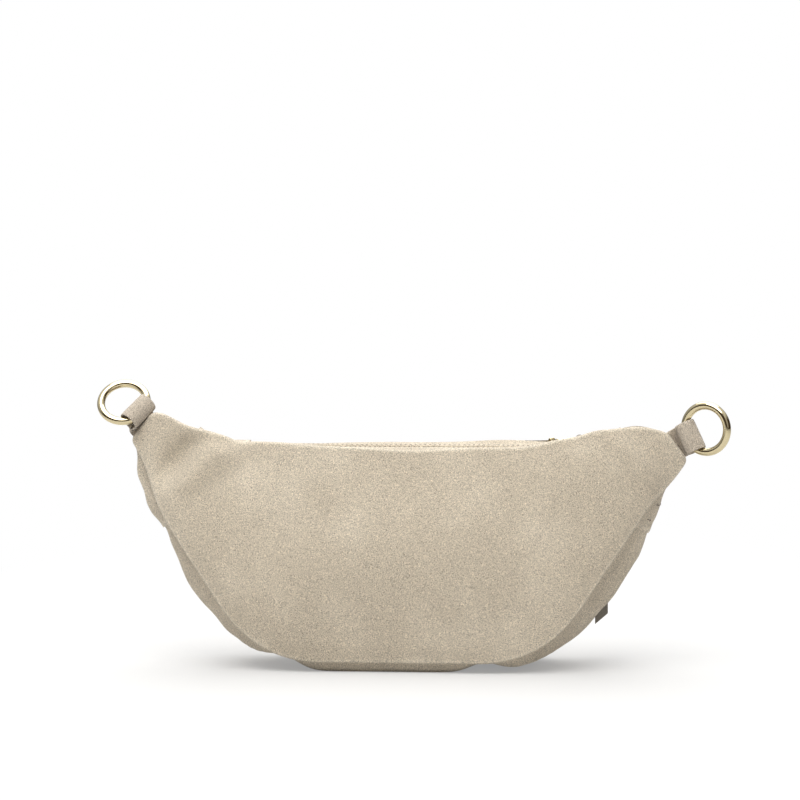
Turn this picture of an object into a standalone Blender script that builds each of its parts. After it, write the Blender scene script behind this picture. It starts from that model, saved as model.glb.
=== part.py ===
"""Belt bag: a crescent suede bag on its base, with two zips and an O-ring at each upper corner."""

import math

import bpy
import numpy as np

# Sizes, in metres
SUEDE = 0.0016
LINING = 0.0008
GAP = 0.0003
BASE_DROP = 0.0065
TOP_Z = 0.1465
SHOULDER_FOOT_X = 0.100
SHOULDER_X = 0.154
SHOULDER_Z = 0.1645
TAB_UPPER_X = 0.1675
TAB_UPPER_Z = 0.1622
TAB_LOWER_X = 0.1815
TAB_LOWER_Z = 0.1440
FLANK_X = 0.158
FLANK_Z = 0.1035
LOWER_CORNER_X = 0.0932
FOOT_ROUNDING = 0.030
SHOULDER_ROUNDING = 0.0090
TAB_ROUNDING = 0.004
LOWER_ROUNDING = 0.043
CORNER_LIFT = 0.0055
LIFT_START_X = 0.133

# Depth of the seams, from the middle plane
BACK_TOP_DEPTH = 0.022
BACK_BASE_DEPTH = 0.036
FRONT_TOP_DEPTH = 0.010
FRONT_BASE_DEPTH = 0.035
CORNER_Y = -0.008
CORNER_HALF_DEPTH = 0.0078
NARROWING_X = 0.145
BACK_DOME = 0.004
FRONT_DOME = 0.004
UPPER_BOW = 1.75

# Gusset
SEAM_INSET = 0.0010
FLANK_BULGE = 0.010
BULGE_FALL_Z = 0.048
GUSSET_TOP_Z = 0.106
OVERLAP_Z = 0.095
LAP_RAMP = 0.010

# Zips
ZIP_STRIP_Z = 0.1455
ZIP_STRIP_END_X = 0.1095
ZIP_COVER_X = 0.1030
SLOT_HALF = 0.0053
TAPE = 0.0007
TAPE_REACH = 0.0050
PITCH = 0.0048
TOOTH_CLEARANCE = 0.00030
TOOTH_FLARE = 0.24
BEAD_FRONT = 0.00195
BEAD_BACK = 0.0032
TOOTH_WIDEST = 0.00075
TOOTH_TIP = 0.00162
TOOTH_TIP_HALF = 0.0005
TOOTH_HEIGHT = 0.0026
MAIN_SLIDER_X = 0.0935
POCKET_SLIDER_X = 0.1265
POCKET_ZIP_Z = 0.087
POCKET_FACE_Y = 0.0268
STOP_LENGTH = 0.0030
STOP_WALL = 0.0008

# Sliders, links and pulls
SLIDER_LENGTH = 0.011
SLIDER_HALF_WIDTH = 0.0048
SLIDER_PLATE = 0.0013
SLIDER_FLANGE = 0.0010
DIVIDER_LENGTH = 0.0035
DIVIDER_HALF = 0.0012
BAIL_WIRE = 0.00075
BAIL_HALF = 0.0032
LINK_WIRE = 0.0008
EYE_RADIUS = BAIL_WIRE + LINK_WIRE + GAP
LINK_WIDTH = 0.0118
LINK_LENGTH = 0.0155
PULL_LEATHER = 0.0013
PULL_WIDTH = 0.0086
POCKET_PULL_LENGTH = 0.0445
MAIN_PULL_LENGTH = 0.0180
PULL_CUT = 0.9
POCKET_PULL_SLANT = 10.0
MAIN_LINK_RISE = 6.0
MAIN_PULL_RISE = 14.0

# Rings and their tabs
RING_RADIUS = 0.015
RING_WIRE = 0.0026
TAB_LEATHER = 0.0013
TAB_ROOT_WIDTH = 0.0200
TAB_FOLD_WIDTH = 0.020
TAB_REACH = 0.0198
TAB_TONGUE = 0.007
RING_CLEARANCE = 0.00025
LEFT_TAB_DIRECTION = (-0.188, -0.655, 0.731)
LEFT_FOLD_LINE = (0.594, 0.516, 0.615)
LEFT_RING_SWING = -76.5
RIGHT_TAB_DIRECTION = (0.706, -0.5375, 0.4625)
RIGHT_FOLD_LINE = (0.413, -0.219, -0.884)
RIGHT_RING_SWING = -8.0

# Lining
LINING_ROOM = 0.0016
POCKET_DEPTH = 0.0085
POCKET_FLOOR_Z = 0.020

TAPE_END_X = POCKET_SLIDER_X + SLIDER_LENGTH / 2.0 + STOP_LENGTH + GAP

# How finely curves are cut
PANEL_COLUMNS = 32
PANEL_ROWS = 9
LOWER_ROWS = 6
UPPER_ROWS = 7
CORNER_WEIGHT = 0.060

X = np.array((1.0, 0.0, 0.0))
Y = np.array((0.0, 1.0, 0.0))
Z = np.array((0.0, 0.0, 1.0))


def smooth(t):
    t = np.clip(t, 0.0, 1.0)
    return t * t * (3.0 - 2.0 * t)


def lerp(a, b, t):
    return a + (b - a) * t


def unit(v):
    v = np.asarray(v, dtype=float)
    return v / np.linalg.norm(v, axis=-1, keepdims=True)


# Outline of the panels


def rounded_path(corners, fine=24):
    """Points along straight lines whose corners are rounded by a parabola, and the index of each corner."""
    points = [np.array(corners[0][:2])]
    marks = [0]
    for before, here, after in zip(corners, corners[1:], corners[2:]):
        corner = np.array(here[:2])
        start = corner + here[2] * unit(np.array(before[:2]) - corner)
        end = corner + here[2] * unit(np.array(after[:2]) - corner)
        steps = max(1, int(np.linalg.norm(start - points[-1]) / 0.001))
        points += [lerp(points[-1], start, k / steps) for k in range(1, steps)]
        marks.append(len(points) + fine // 2)
        for t in np.linspace(0.0, 1.0, fine + 1):
            points.append(lerp(lerp(start, corner, t), lerp(corner, end, t), t))
    end = np.array(corners[-1][:2])
    steps = max(1, int(np.linalg.norm(end - points[-1]) / 0.001))
    points += [lerp(points[-1], end, k / steps) for k in range(1, steps + 1)]
    marks.append(len(points) - 1)
    return np.array(points), marks


HALF, MARKS = rounded_path(
    (
        (0.0, TOP_Z, 0.0),
        (SHOULDER_FOOT_X, TOP_Z, FOOT_ROUNDING),
        (SHOULDER_X, SHOULDER_Z, SHOULDER_ROUNDING),
        (TAB_UPPER_X, TAB_UPPER_Z, TAB_ROUNDING),
        (TAB_LOWER_X, TAB_LOWER_Z, TAB_ROUNDING),
        (FLANK_X, FLANK_Z, FOOT_ROUNDING),
        (LOWER_CORNER_X, BASE_DROP, LOWER_ROUNDING),
        (0.0, BASE_DROP, 0.0),
    )
)
UPPER_MARK, LOWER_MARK = MARKS[3], MARKS[4]


def lifted(points, side):
    """A half outline on its side (1 right, -1 left), with the left corner raised and the right one lowered."""
    x, z = points[:, 0], points[:, 1]
    share = smooth((x - LIFT_START_X) / (TAB_UPPER_X - LIFT_START_X)) * smooth((z - FLANK_Z) / 0.035)
    return np.stack((side * x, z - side * CORNER_LIFT * share), axis=1)


def stations(points, count):
    """Count points along a path, closer together where it bends."""
    step = np.diff(points, axis=0)
    length = np.linalg.norm(step, axis=1)
    heading = np.unwrap(np.arctan2(step[:, 1], step[:, 0]))
    turn = np.abs(np.diff(heading, prepend=heading[0]))
    along = np.concatenate(((0.0,), np.cumsum(length + CORNER_WEIGHT * turn)))
    wanted = np.linspace(0.0, along[-1], count)
    return np.stack([np.interp(wanted, along, points[:, k]) for k in (0, 1)], axis=1)


def seam_depths(x, z):
    """Y of the back panel's outer face and of the front panel's, at the seam."""
    down = np.clip((TOP_Z - z) / TOP_Z, 0.0, 1.0)
    back = -lerp(BACK_TOP_DEPTH, BACK_BASE_DEPTH, down)
    front = lerp(FRONT_TOP_DEPTH, FRONT_BASE_DEPTH, 1.0 - (1.0 - down) ** 1.7)
    close = smooth((np.abs(x) - NARROWING_X) / (TAB_LOWER_X - NARROWING_X))
    return (
        lerp(back, CORNER_Y - CORNER_HALF_DEPTH, close),
        lerp(front, CORNER_Y + CORNER_HALF_DEPTH, close),
    )


def on_seam(points, front):
    x, z = points[:, 0], points[:, 1]
    return np.stack((x, seam_depths(x, z)[1 if front else 0], z), axis=1)


# Meshes


def grid_quads(rows, columns, wrap=False):
    quads = []
    for i in range(rows - 1):
        for j in range(columns if wrap else columns - 1):
            k = (j + 1) % columns
            quads.append((i * columns + j, i * columns + k, (i + 1) * columns + k, (i + 1) * columns + j))
    return quads


def thick(outer, inner, faces):
    """A closed body from two matching sheets: both sheets, and a rim along every free edge."""
    count = len(outer)
    edges = set()
    for face in faces:
        for a, b in zip(face, face[1:] + face[:1]):
            if (b, a) in edges:
                edges.remove((b, a))
            else:
                edges.add((a, b))
    body = list(faces)
    body += [tuple(count + v for v in reversed(face)) for face in faces]
    body += [(b, a, count + a, count + b) for a, b in sorted(edges)]
    return np.concatenate((outer, inner)), body


def facing_out(points, faces):
    """The faces, turned round as one if the body's volume comes out negative."""
    volume = 0.0
    for face in faces:
        first = points[face[0]]
        for a, b in zip(face[1:], face[2:]):
            volume += float(np.dot(first, np.cross(points[a], points[b])))
    return faces if volume > 0.0 else [tuple(reversed(face)) for face in faces]


def mesh_object(name, points, faces, material, origin=(0.0, 0.0, 0.0), round_faces=False):
    points = np.asarray(points, dtype=float)
    used = sorted({v for face in faces for v in face})
    number = {v: k for k, v in enumerate(used)}
    faces = [tuple(number[v] for v in face) for face in facing_out(points, faces)]
    mesh = bpy.data.meshes.new(name)
    mesh.from_pydata([tuple(p) for p in points[used] - np.asarray(origin)], [], faces)
    mesh.materials.append(material)
    if round_faces:
        for polygon in mesh.polygons:
            polygon.use_smooth = True
    mesh.update()
    made = bpy.data.objects.new(name, mesh)
    made.location = tuple(origin)
    bpy.context.scene.collection.objects.link(made)
    return made


def joined(first, others):
    """First, with the other objects joined to it."""
    for k, other in enumerate(others):
        union = first.modifiers.new(f"union_{k}", "BOOLEAN")
        union.operation = "UNION"
        union.solver = "EXACT"
        union.object = other
        other.hide_render = True
        other.display_type = "WIRE"
    return first


def prism(profile, start, end, across, up, along):
    """A flat profile in (across, up), carried from start to end along its own direction."""
    flat = np.array([p[0] * across + p[1] * up for p in profile])
    count = len(profile)
    points = np.concatenate((flat + start * along, flat + end * along))
    faces = [tuple(range(count)), tuple(range(2 * count - 1, count - 1, -1))]
    faces += [((k + 1) % count, k, count + k, count + (k + 1) % count) for k in range(count)]
    return points, faces


def tube(path, radius, sides, closed):
    """A round wire along a path that lies in one plane."""
    path = np.asarray(path, dtype=float)
    count = len(path)
    if closed:
        tangent = unit(np.roll(path, -1, axis=0) - np.roll(path, 1, axis=0))
    else:
        tangent = unit(np.gradient(path, axis=0))
    normal = unit(np.cross(path[count // 3] - path[0], path[2 * count // 3] - path[0]))
    sideways = np.cross(tangent, normal)
    angle = 2.0 * math.pi * np.arange(sides) / sides
    rings = path[:, None] + radius * (
        np.cos(angle)[None, :, None] * sideways[:, None] + np.sin(angle)[None, :, None] * normal
    )
    points = rings.reshape(-1, 3)
    faces = grid_quads(count, sides, wrap=True)
    if closed:
        last = (count - 1) * sides
        faces += [(last + j, last + (j + 1) % sides, (j + 1) % sides, j) for j in range(sides)]
    else:
        faces += [tuple(reversed(range(sides))), tuple(range((count - 1) * sides, count * sides))]
    return points, faces


def coons(bottom, top, left, right):
    """A sheet stretched between four edges, as rows of points from the bottom edge to the top one."""
    u = np.linspace(0.0, 1.0, len(bottom))[None, :, None]
    v = np.linspace(0.0, 1.0, len(left))[:, None, None]
    sheet = lerp(bottom[None], top[None], v) + lerp(left[:, None], right[:, None], u)
    return sheet - lerp(lerp(bottom[0], bottom[-1], u), lerp(top[0], top[-1], u), v)


def panel(name, bottom, top, left, right, dome, bow, outward, material):
    """A suede panel between its four edges. Its depth goes from bottom to top by the height to the power bow."""
    outer = coons(bottom, top, left, right)
    u = np.linspace(0.0, 1.0, len(bottom))[None, :]
    rise = np.clip((outer[..., 2] - bottom[:, 2]) / (top[:, 2] - bottom[:, 2]), 0.0, 1.0)
    depth = lerp(bottom[:, 1], top[:, 1], rise**bow)
    for edge, share in ((left, 1.0 - smooth(6.0 * u)), (right, 1.0 - smooth(6.0 * (1.0 - u)))):
        height = (edge[:, 2] - edge[0, 2]) / (edge[-1, 2] - edge[0, 2])
        straight = lerp(edge[0, 1], edge[-1, 1], height**bow)
        depth = depth + (edge[:, 1] - straight)[:, None] * share
    outer[..., 1] = depth + outward * dome * (1.0 - (2.0 * u - 1.0) ** 6) * 4.0 * rise * (1.0 - rise)
    inner = outer - outward * SUEDE * Y
    points, faces = thick(outer.reshape(-1, 3), inner.reshape(-1, 3), grid_quads(len(left), len(bottom)))
    return mesh_object(name, points, faces, material, round_faces=True)


# Materials


def principled(name, colour, roughness, metallic=0.0):
    made = bpy.data.materials.new(name)
    made.use_nodes = True
    shader = made.node_tree.nodes["Principled BSDF"]
    shader.inputs["Base Color"].default_value = (*colour, 1.0)
    shader.inputs["Roughness"].default_value = roughness
    shader.inputs["Metallic"].default_value = metallic
    made.diffuse_color = (*colour, 1.0)
    return made


def whole_edges(front):
    """The four edges of a full panel, on the back seam or the front one."""
    columns, rows = PANEL_COLUMNS + 1, PANEL_ROWS + 1
    right, left = lifted(HALF, 1), lifted(HALF, -1)
    top = np.concatenate((left[: UPPER_MARK + 1][::-1], right[1 : UPPER_MARK + 1]))
    bottom = np.concatenate((left[LOWER_MARK:], right[LOWER_MARK:-1][::-1]))
    sides = [stations(half[UPPER_MARK : LOWER_MARK + 1][::-1], rows) for half in (left, right)]
    return [on_seam(edge, front) for edge in (stations(bottom, columns), stations(top, columns), *sides)]


def pocket_edge(columns, upper):
    """The edge of a front panel along the pocket zip: straight beside the zip, closing to a seam past its end."""
    end = np.interp(POCKET_ZIP_Z, HALF[LOWER_MARK:][::-1, 1], HALF[LOWER_MARK:][::-1, 0])
    window = TAPE_END_X + GAP
    half = np.concatenate(
        (
            np.linspace(0.0, window, columns // 2 - 4),
            window + (end - window) * np.array((0.15, 0.3, 0.5, 0.75, 1.0)),
        )
    )
    x = np.concatenate((-half[::-1], half[1:]))
    beyond = np.abs(x) - window
    opening = lerp(SLOT_HALF, GAP / 2.0, smooth(beyond / (0.5 * (end - window))))
    z = POCKET_ZIP_Z + (opening if upper else -opening)
    face = lerp(POCKET_FACE_Y, seam_depths(x, z)[1], smooth(beyond / (end - window)))
    return np.stack((x, face, z), axis=1)


def build_panels(suede):
    panel("back_panel", *whole_edges(False), BACK_DOME, 1.0, -1.0, suede)
    columns = PANEL_COLUMNS + 1
    flank = HALF[LOWER_MARK:]

    low_edge = pocket_edge(columns, False)
    below = np.concatenate((low_edge[-1:, (0, 2)], flank[flank[:, 1] < low_edge[0, 2] - GAP]))
    turn = int(np.argmin(np.abs(below[:, 1] - 3.0 * BASE_DROP)))
    base = below[turn:]
    side = stations(below[: turn + 1], LOWER_ROWS + 1)[::-1]
    left, right = on_seam(side * (-1.0, 1.0), True), on_seam(side, True)
    left[-1], right[-1] = low_edge[0], low_edge[-1]
    bottom = stations(np.concatenate((base * (-1.0, 1.0), base[:-1][::-1])), columns)
    panel("front_panel_lower", on_seam(bottom, True), low_edge, left, right, FRONT_DOME, 1.0, 1.0, suede)

    high_edge = pocket_edge(columns, True)
    sides = []
    for half, end in ((lifted(HALF, -1), high_edge[0]), (lifted(HALF, 1), high_edge[-1])):
        above = half[UPPER_MARK:]
        above = above[above[:, 1] > end[2] + GAP]
        side = on_seam(stations(np.concatenate((above, end[None, (0, 2)])), UPPER_ROWS + 1)[::-1], True)
        side[0] = end
        sides.append(side)
    top = whole_edges(True)[1]
    panel("front_panel_upper", high_edge, top, *sides, 0.5 * FRONT_DOME, UPPER_BOW, 1.0, suede)


# Gussets


def outward_at(at):
    """The direction that points out of the bag at each station of a path."""
    tangent = unit(np.gradient(at, axis=0))
    outward = np.stack((tangent[:, 1], -tangent[:, 0]), axis=1)
    middle = np.array((0.0, 0.09))
    return outward if np.sum((at - middle) * outward) > 0.0 else -outward


def gusset(name, at, offset, bulge, across, slot, material):
    """A strip between the panels. Offset and bulge are how far it stands outside the seam and its own edges."""
    outward = outward_at(at)
    back, front = seam_depths(at[:, 0], at[:, 1])
    back = back + SUEDE + 2.5 * GAP
    front = front - SUEDE - 4.5 * GAP
    rise = smooth(np.minimum(across, 1.0 - across) / 0.22)
    out = offset[:, None] + bulge[:, None] * rise[None]
    y = lerp(back[:, None], front[:, None], across[None])
    sheets = []
    for inward in (0.0, SUEDE):
        xz = at[:, None] + (out - inward)[..., None] * outward[:, None]
        sheets.append(np.stack((xz[..., 0], y, xz[..., 1]), axis=-1).reshape(-1, 3))
    faces = [face for number, face in enumerate(grid_quads(len(at), len(across))) if number not in slot]
    points, faces = thick(*sheets, faces)
    return mesh_object(name, points, faces, material, round_faces=True)


def build_gussets(suede):
    right, left = lifted(HALF, 1), lifted(HALF, -1)
    across = np.array((0.0, 0.11, 0.22, 0.78, 0.89, 1.0))
    lower = [half[LOWER_MARK:] for half in (left, right)]
    lower = [half[half[:, 1] < GUSSET_TOP_Z] for half in lower]
    at = stations(np.concatenate((lower[0], lower[1][:-1][::-1])), 39)
    z = at[:, 1]
    bulge = lerp(BASE_DROP, FLANK_BULGE, smooth((z - BASE_DROP) / 0.030))
    bulge = bulge * (1.0 - smooth((z - BULGE_FALL_Z) / (OVERLAP_Z - BULGE_FALL_Z)))
    bulge = bulge + SEAM_INSET * smooth((OVERLAP_Z - z) / LAP_RAMP)
    gusset("lower_gusset", at, np.full(len(at), -SEAM_INSET), bulge, across, (), suede)

    share = 0.5 * (SUEDE + GAP) / (CORNER_HALF_DEPTH - SUEDE - 3.5 * GAP)
    across = np.array((0.0, 0.5 * (0.5 - share), 0.5 - share, 0.5 + share, 0.75 + 0.5 * share, 1.0))
    for side, name in ((-1, "gusset_end_left"), (1, "gusset_end_right")):
        half = lifted(HALF, side)
        first = int(np.argmax(np.abs(half[:, 0]) > ZIP_COVER_X))
        last = LOWER_MARK + int(np.argmax(half[LOWER_MARK:, 1] < OVERLAP_Z))
        root, away, line = tab_root(side)
        along = np.abs((half - root[[0, 2]]) @ line[[0, 2]])
        near = along[first : LOWER_MARK + 20] < 0.5 * TAB_ROOT_WIDTH + 1.4 * SUEDE
        inside = np.nonzero(near)[0] + first
        parts = ((first, inside[0], 7), (inside[0], inside[-1], 6), (inside[-1], last, 7))
        at = np.concatenate([stations(half[i : j + 1], n)[bool(k) :] for k, (i, j, n) in enumerate(parts)])
        slot = {i * 5 + 2 for i in range(6, 11)}
        x, z = np.abs(at[:, 0]), at[:, 1]
        on_top = (z > TOP_Z - 0.01) & (x < SHOULDER_X)
        lap = SUEDE + GAP
        below = (1.0 - smooth((z - GUSSET_TOP_Z - 2.0 * SUEDE) / LAP_RAMP)) * (x > SHOULDER_FOOT_X)
        below = np.where(on_top, 0.0, below)
        # the top end starts just above the zip strips and climbs to the panels' edge
        start = ZIP_STRIP_Z + lap - z
        climb = smooth((x - ZIP_COVER_X - 0.014) / 0.024)
        offset = np.where(on_top, lerp(start, -SEAM_INSET, climb), -SEAM_INSET)
        offset = offset + lap * below
        gusset(name, at, offset, np.full(len(at), 0.6 * SEAM_INSET), across, slot, suede)

    zip_y = 0.5 * (FRONT_TOP_DEPTH - BACK_TOP_DEPTH)
    for name, near, far in (
        ("zip_gusset_back", zip_y - SLOT_HALF, -BACK_TOP_DEPTH + SUEDE + 1.5 * GAP),
        ("zip_gusset_front", zip_y + SLOT_HALF, FRONT_TOP_DEPTH - SUEDE - 1.5 * GAP),
    ):
        low = ZIP_STRIP_Z - SUEDE
        profile = [(near, low), (far, low), (far, ZIP_STRIP_Z), (near, ZIP_STRIP_Z)]
        points, faces = prism(profile, -ZIP_STRIP_END_X, ZIP_STRIP_END_X, Y, Z, X)
        mesh_object(name, points, faces, suede)


# Ring tabs and pulls: a strip folded round a wire, its two plies closed below the fold


def tab_root(side):
    """Where a ring tab leaves the bag: the point, the direction out, and the line of its width."""
    half = lifted(HALF, side)
    upper, lower = half[MARKS[3]], half[MARKS[4]]
    line = unit(np.array((upper[0] - lower[0], 0.0, upper[1] - lower[1])))
    if side > 0:
        line = -line
    away = unit(np.array((side * abs(line[2]), 0.0, abs(line[0]))))
    middle = 0.5 * (upper + lower)
    return np.array((middle[0], CORNER_Y, middle[1])), away, line


def fold_profile(bore, leather, tongue):
    """The outer edge of a fold seen along its line, as (along, sideways): its arc, and one side of its tongue."""
    outside = bore + leather
    arc = [(outside * math.cos(t), outside * math.sin(t)) for t in np.radians(np.linspace(-118.0, 118.0, 13))]
    last = arc[-1]
    neck = -1.35 * outside
    flat = leather + 0.2 * GAP
    side = [(lerp(last[0], neck, 0.55), lerp(last[1], flat, 0.62)), (neck, flat)]
    side += [(lerp(neck, -tongue, t), flat) for t in (0.2, 0.4, 0.6, 0.8, 1.0)]
    return arc, side


def folded_strip(arc, side, bore, half_width, place):
    """A closed body: a strip folded round a bore and its two plies, from the fold's edge seen along its line."""
    outer = arc + side + [(a, -b) for a, b in reversed(side)]
    count = len(outer)
    inner = [tuple(bore * unit(p)) for p in (*arc, side[0], (-1.0, 0.0), outer[-1])]
    round_count = len(inner)
    stops = (-1.0, 0.0, 1.0)
    points = [place(a, b, stop * half_width(a), False) for stop in stops for a, b in outer]
    points += [place(a, b, stop * half_width(a), True) for stop in stops for a, b in inner]
    base = len(stops) * count
    faces = grid_quads(len(stops), count, wrap=True)
    faces += [tuple(base + v for v in reversed(face)) for face in grid_quads(len(stops), round_count, wrap=True)]

    # the strip's edge: a band round the bore, closed below it, then a ladder between the two plies
    turn, neck, mirrored = len(arc), len(arc) + 1, count - 2
    edge = [(j, j + 1, base + j + 1, base + j) for j in range(neck)]
    edge.append((neck, mirrored, base + neck))
    edge.append((mirrored, mirrored + 1, base + neck + 1, base + neck))
    edge.append((count - 1, 0, base, base + round_count - 1))
    edge += [(turn + k, turn + k + 1, count - 2 - k, count - 1 - k) for k in range(1, len(side) - 1)]
    last = len(stops) - 1
    for face in edge:
        faces.append(tuple(reversed(face)))
        faces.append(tuple(v + last * (count if v < base else round_count) for v in face))
    return np.array(points), faces


def ring_sizes():
    """How far the ring's middle is from the fold's line, and the bore that lets it swing."""
    outer, inner = RING_RADIUS + RING_WIRE, RING_RADIUS - RING_WIRE
    reach = 0.5 * (outer + math.sqrt(inner**2 - (0.5 * TAB_FOLD_WIDTH) ** 2))
    return reach, outer - reach + RING_CLEARANCE


def build_ring(side, name, direction, fold_line, swing, suede, metal):
    root, away, line = tab_root(side)
    direction, fold_line = unit(direction), unit(fold_line)
    fold_line = unit(fold_line - np.dot(fold_line, direction) * direction)
    sideways = np.cross(fold_line, direction)
    reach, bore = ring_sizes()
    outside = bore + TAB_LEATHER
    centre = root + (TAB_REACH - outside) * direction
    straight = 1.35 * outside
    arc, side_edge = fold_profile(bore, TAB_LEATHER, straight + 0.010)
    near = centre - 0.9 * outside * direction
    seat = root + 0.0008 * away
    # the tab is sewn in a little askew, so that it bends less across its width
    into = unit(away + 0.20 * np.dot(direction, line) * line)

    def place(a, b, w, inner):
        if inner or a > -0.9 * outside:
            return centre + a * direction + b * sideways + w * fold_line
        t = (-a - 0.9 * outside) / (straight + 0.010 - 0.9 * outside)
        inside = 0.40
        if t >= 1.0 - inside:
            spot = seat - into * (t - 1.0 + inside) / inside * (TAB_TONGUE + 0.0008)
            heading, across = into, line
        else:
            s = t / (1.0 - inside)
            pull_in = np.linalg.norm(near - seat)
            spot = (
                (2.0 * s**3 - 3.0 * s**2 + 1.0) * near
                + (s**3 - 2.0 * s**2 + s) * -direction * pull_in
                + (3.0 * s**2 - 2.0 * s**3) * seat
                + (s**3 - s**2) * -into * pull_in
            )
            heading = unit(lerp(direction, into, s))
            across = lerp(fold_line, line, s)
        across = unit(across - np.dot(across, heading) * heading)
        return spot + b * np.cross(across, heading) + w * across

    def half_width(a):
        return 0.5 * lerp(TAB_FOLD_WIDTH, TAB_ROOT_WIDTH, float(smooth((-a - 0.9 * outside) / 0.008)))

    points, faces = folded_strip(arc, side_edge, bore, half_width, place)
    mesh_object("ring_tab_" + name, points, faces, suede, round_faces=True)

    angle = math.radians(swing)
    out = math.cos(angle) * direction + math.sin(angle) * sideways
    middle = centre + reach * out
    turn = 2.0 * math.pi * np.arange(32) / 32
    path = middle + RING_RADIUS * (np.cos(turn)[:, None] * out + np.sin(turn)[:, None] * fold_line)
    points, faces = tube(path, RING_WIRE, 10, True)
    mesh_object("ring_" + name, points, faces, metal, origin=centre, round_faces=True)


# Zips


def zip_tape(name, side, shift, first, last, end, centre, across, up, material):
    """A tape with its teeth as one body. Across points from the chain to the tape, and side is 1 or -1 along it."""
    half_gap = 0.5 * (0.5 * PITCH - TOOTH_CLEARANCE)

    def half_at(y):
        return half_gap + TOOTH_FLARE * y

    comb = []
    count = int(round((last - first) / PITCH))
    for k in range(count):
        x = first + (k + 0.25 + shift) * PITCH
        comb += [
            (x - half_at(-BEAD_FRONT), BEAD_FRONT),
            (x - half_at(TOOTH_WIDEST), -TOOTH_WIDEST),
            (x - TOOTH_TIP_HALF, -TOOTH_TIP),
            (x + TOOTH_TIP_HALF, -TOOTH_TIP),
            (x + half_at(TOOTH_WIDEST), -TOOTH_WIDEST),
            (x + half_at(-BEAD_FRONT), BEAD_FRONT),
        ]
    front = [(-end, BEAD_FRONT)] + comb + [(end, BEAD_FRONT)]
    outline = front + [(end, BEAD_BACK), (-end, BEAD_BACK)]
    total = len(outline)
    high, low = 0.5 * TOOTH_HEIGHT, -0.5 * TOOTH_HEIGHT
    reach = SLOT_HALF + TAPE_REACH
    levels = [(high, outline), (low, outline)]
    flat = [(x, y, level) for level, points in levels for x, y in points]
    tape = [(x, y, h) for y in (BEAD_BACK, reach) for h in (TAPE / 2.0, -TAPE / 2.0) for x in (end, -end)]
    points = np.array([x * X + y * side * across + h * up for x, y, h in flat + tape]) + centre
    corner, right, left, t = len(front) - 1, len(front), len(front) + 1, 2 * total
    faces = [tuple(range(total)), tuple(range(2 * total - 1, total - 1, -1))]
    faces += [(k + 1, k, total + k, total + k + 1) for k in range(corner)]
    # the bead's back above and below the tape, the tape, and both ends
    faces += [(left, right, t, t + 1), (t + 3, t + 2, total + right, total + left)]
    faces += [(t + 1, t, t + 4, t + 5), (t + 7, t + 6, t + 2, t + 3), (t + 5, t + 4, t + 6, t + 7)]
    faces.append((0, left, t + 1, t + 5, t + 7, t + 3, total + left, total))
    faces.append((right, corner, total + corner, total + right, t + 2, t + 6, t + 4, t))
    return mesh_object(name, points, faces, material)


def end_stop(name, start, centre, across, up, material):
    """The stop that holds both tapes together at the end where the slider never goes past."""
    wide = BEAD_BACK + 0.001
    web = BEAD_FRONT - GAP
    inside = 0.5 * TOOTH_HEIGHT + GAP
    outside = inside + STOP_WALL
    profile = [(-wide, inside), (-wide, outside), (wide, outside), (wide, inside), (web, inside)]
    profile += [(a, -b) for a, b in reversed(profile)]
    profile.append((-web, -inside))
    profile.append((-web, inside))
    points, faces = prism(profile, start - STOP_LENGTH, start, across, up, X)
    mesh_object(name, points + centre, faces, material)


def top_stop(name, side, start, centre, across, up, material):
    """The stop clamped round one tape's edge."""
    near = BEAD_FRONT - GAP - STOP_WALL
    pocket = BEAD_FRONT - GAP
    wide = BEAD_BACK + GAP + STOP_WALL
    slit = TAPE / 2.0 + GAP
    inside = 0.5 * TOOTH_HEIGHT + GAP
    outside = inside + STOP_WALL
    back = BEAD_BACK + GAP
    profile = [(near, -outside), (wide, -outside), (wide, -slit)]
    profile += [(back, -slit), (back, -inside), (pocket, -inside)]
    profile += [(a, -b) for a, b in reversed(profile)]
    points, faces = prism([(side * a, b) for a, b in profile], start, start + STOP_LENGTH, across, up, X)
    mesh_object(name, points + centre, faces, material)


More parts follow.
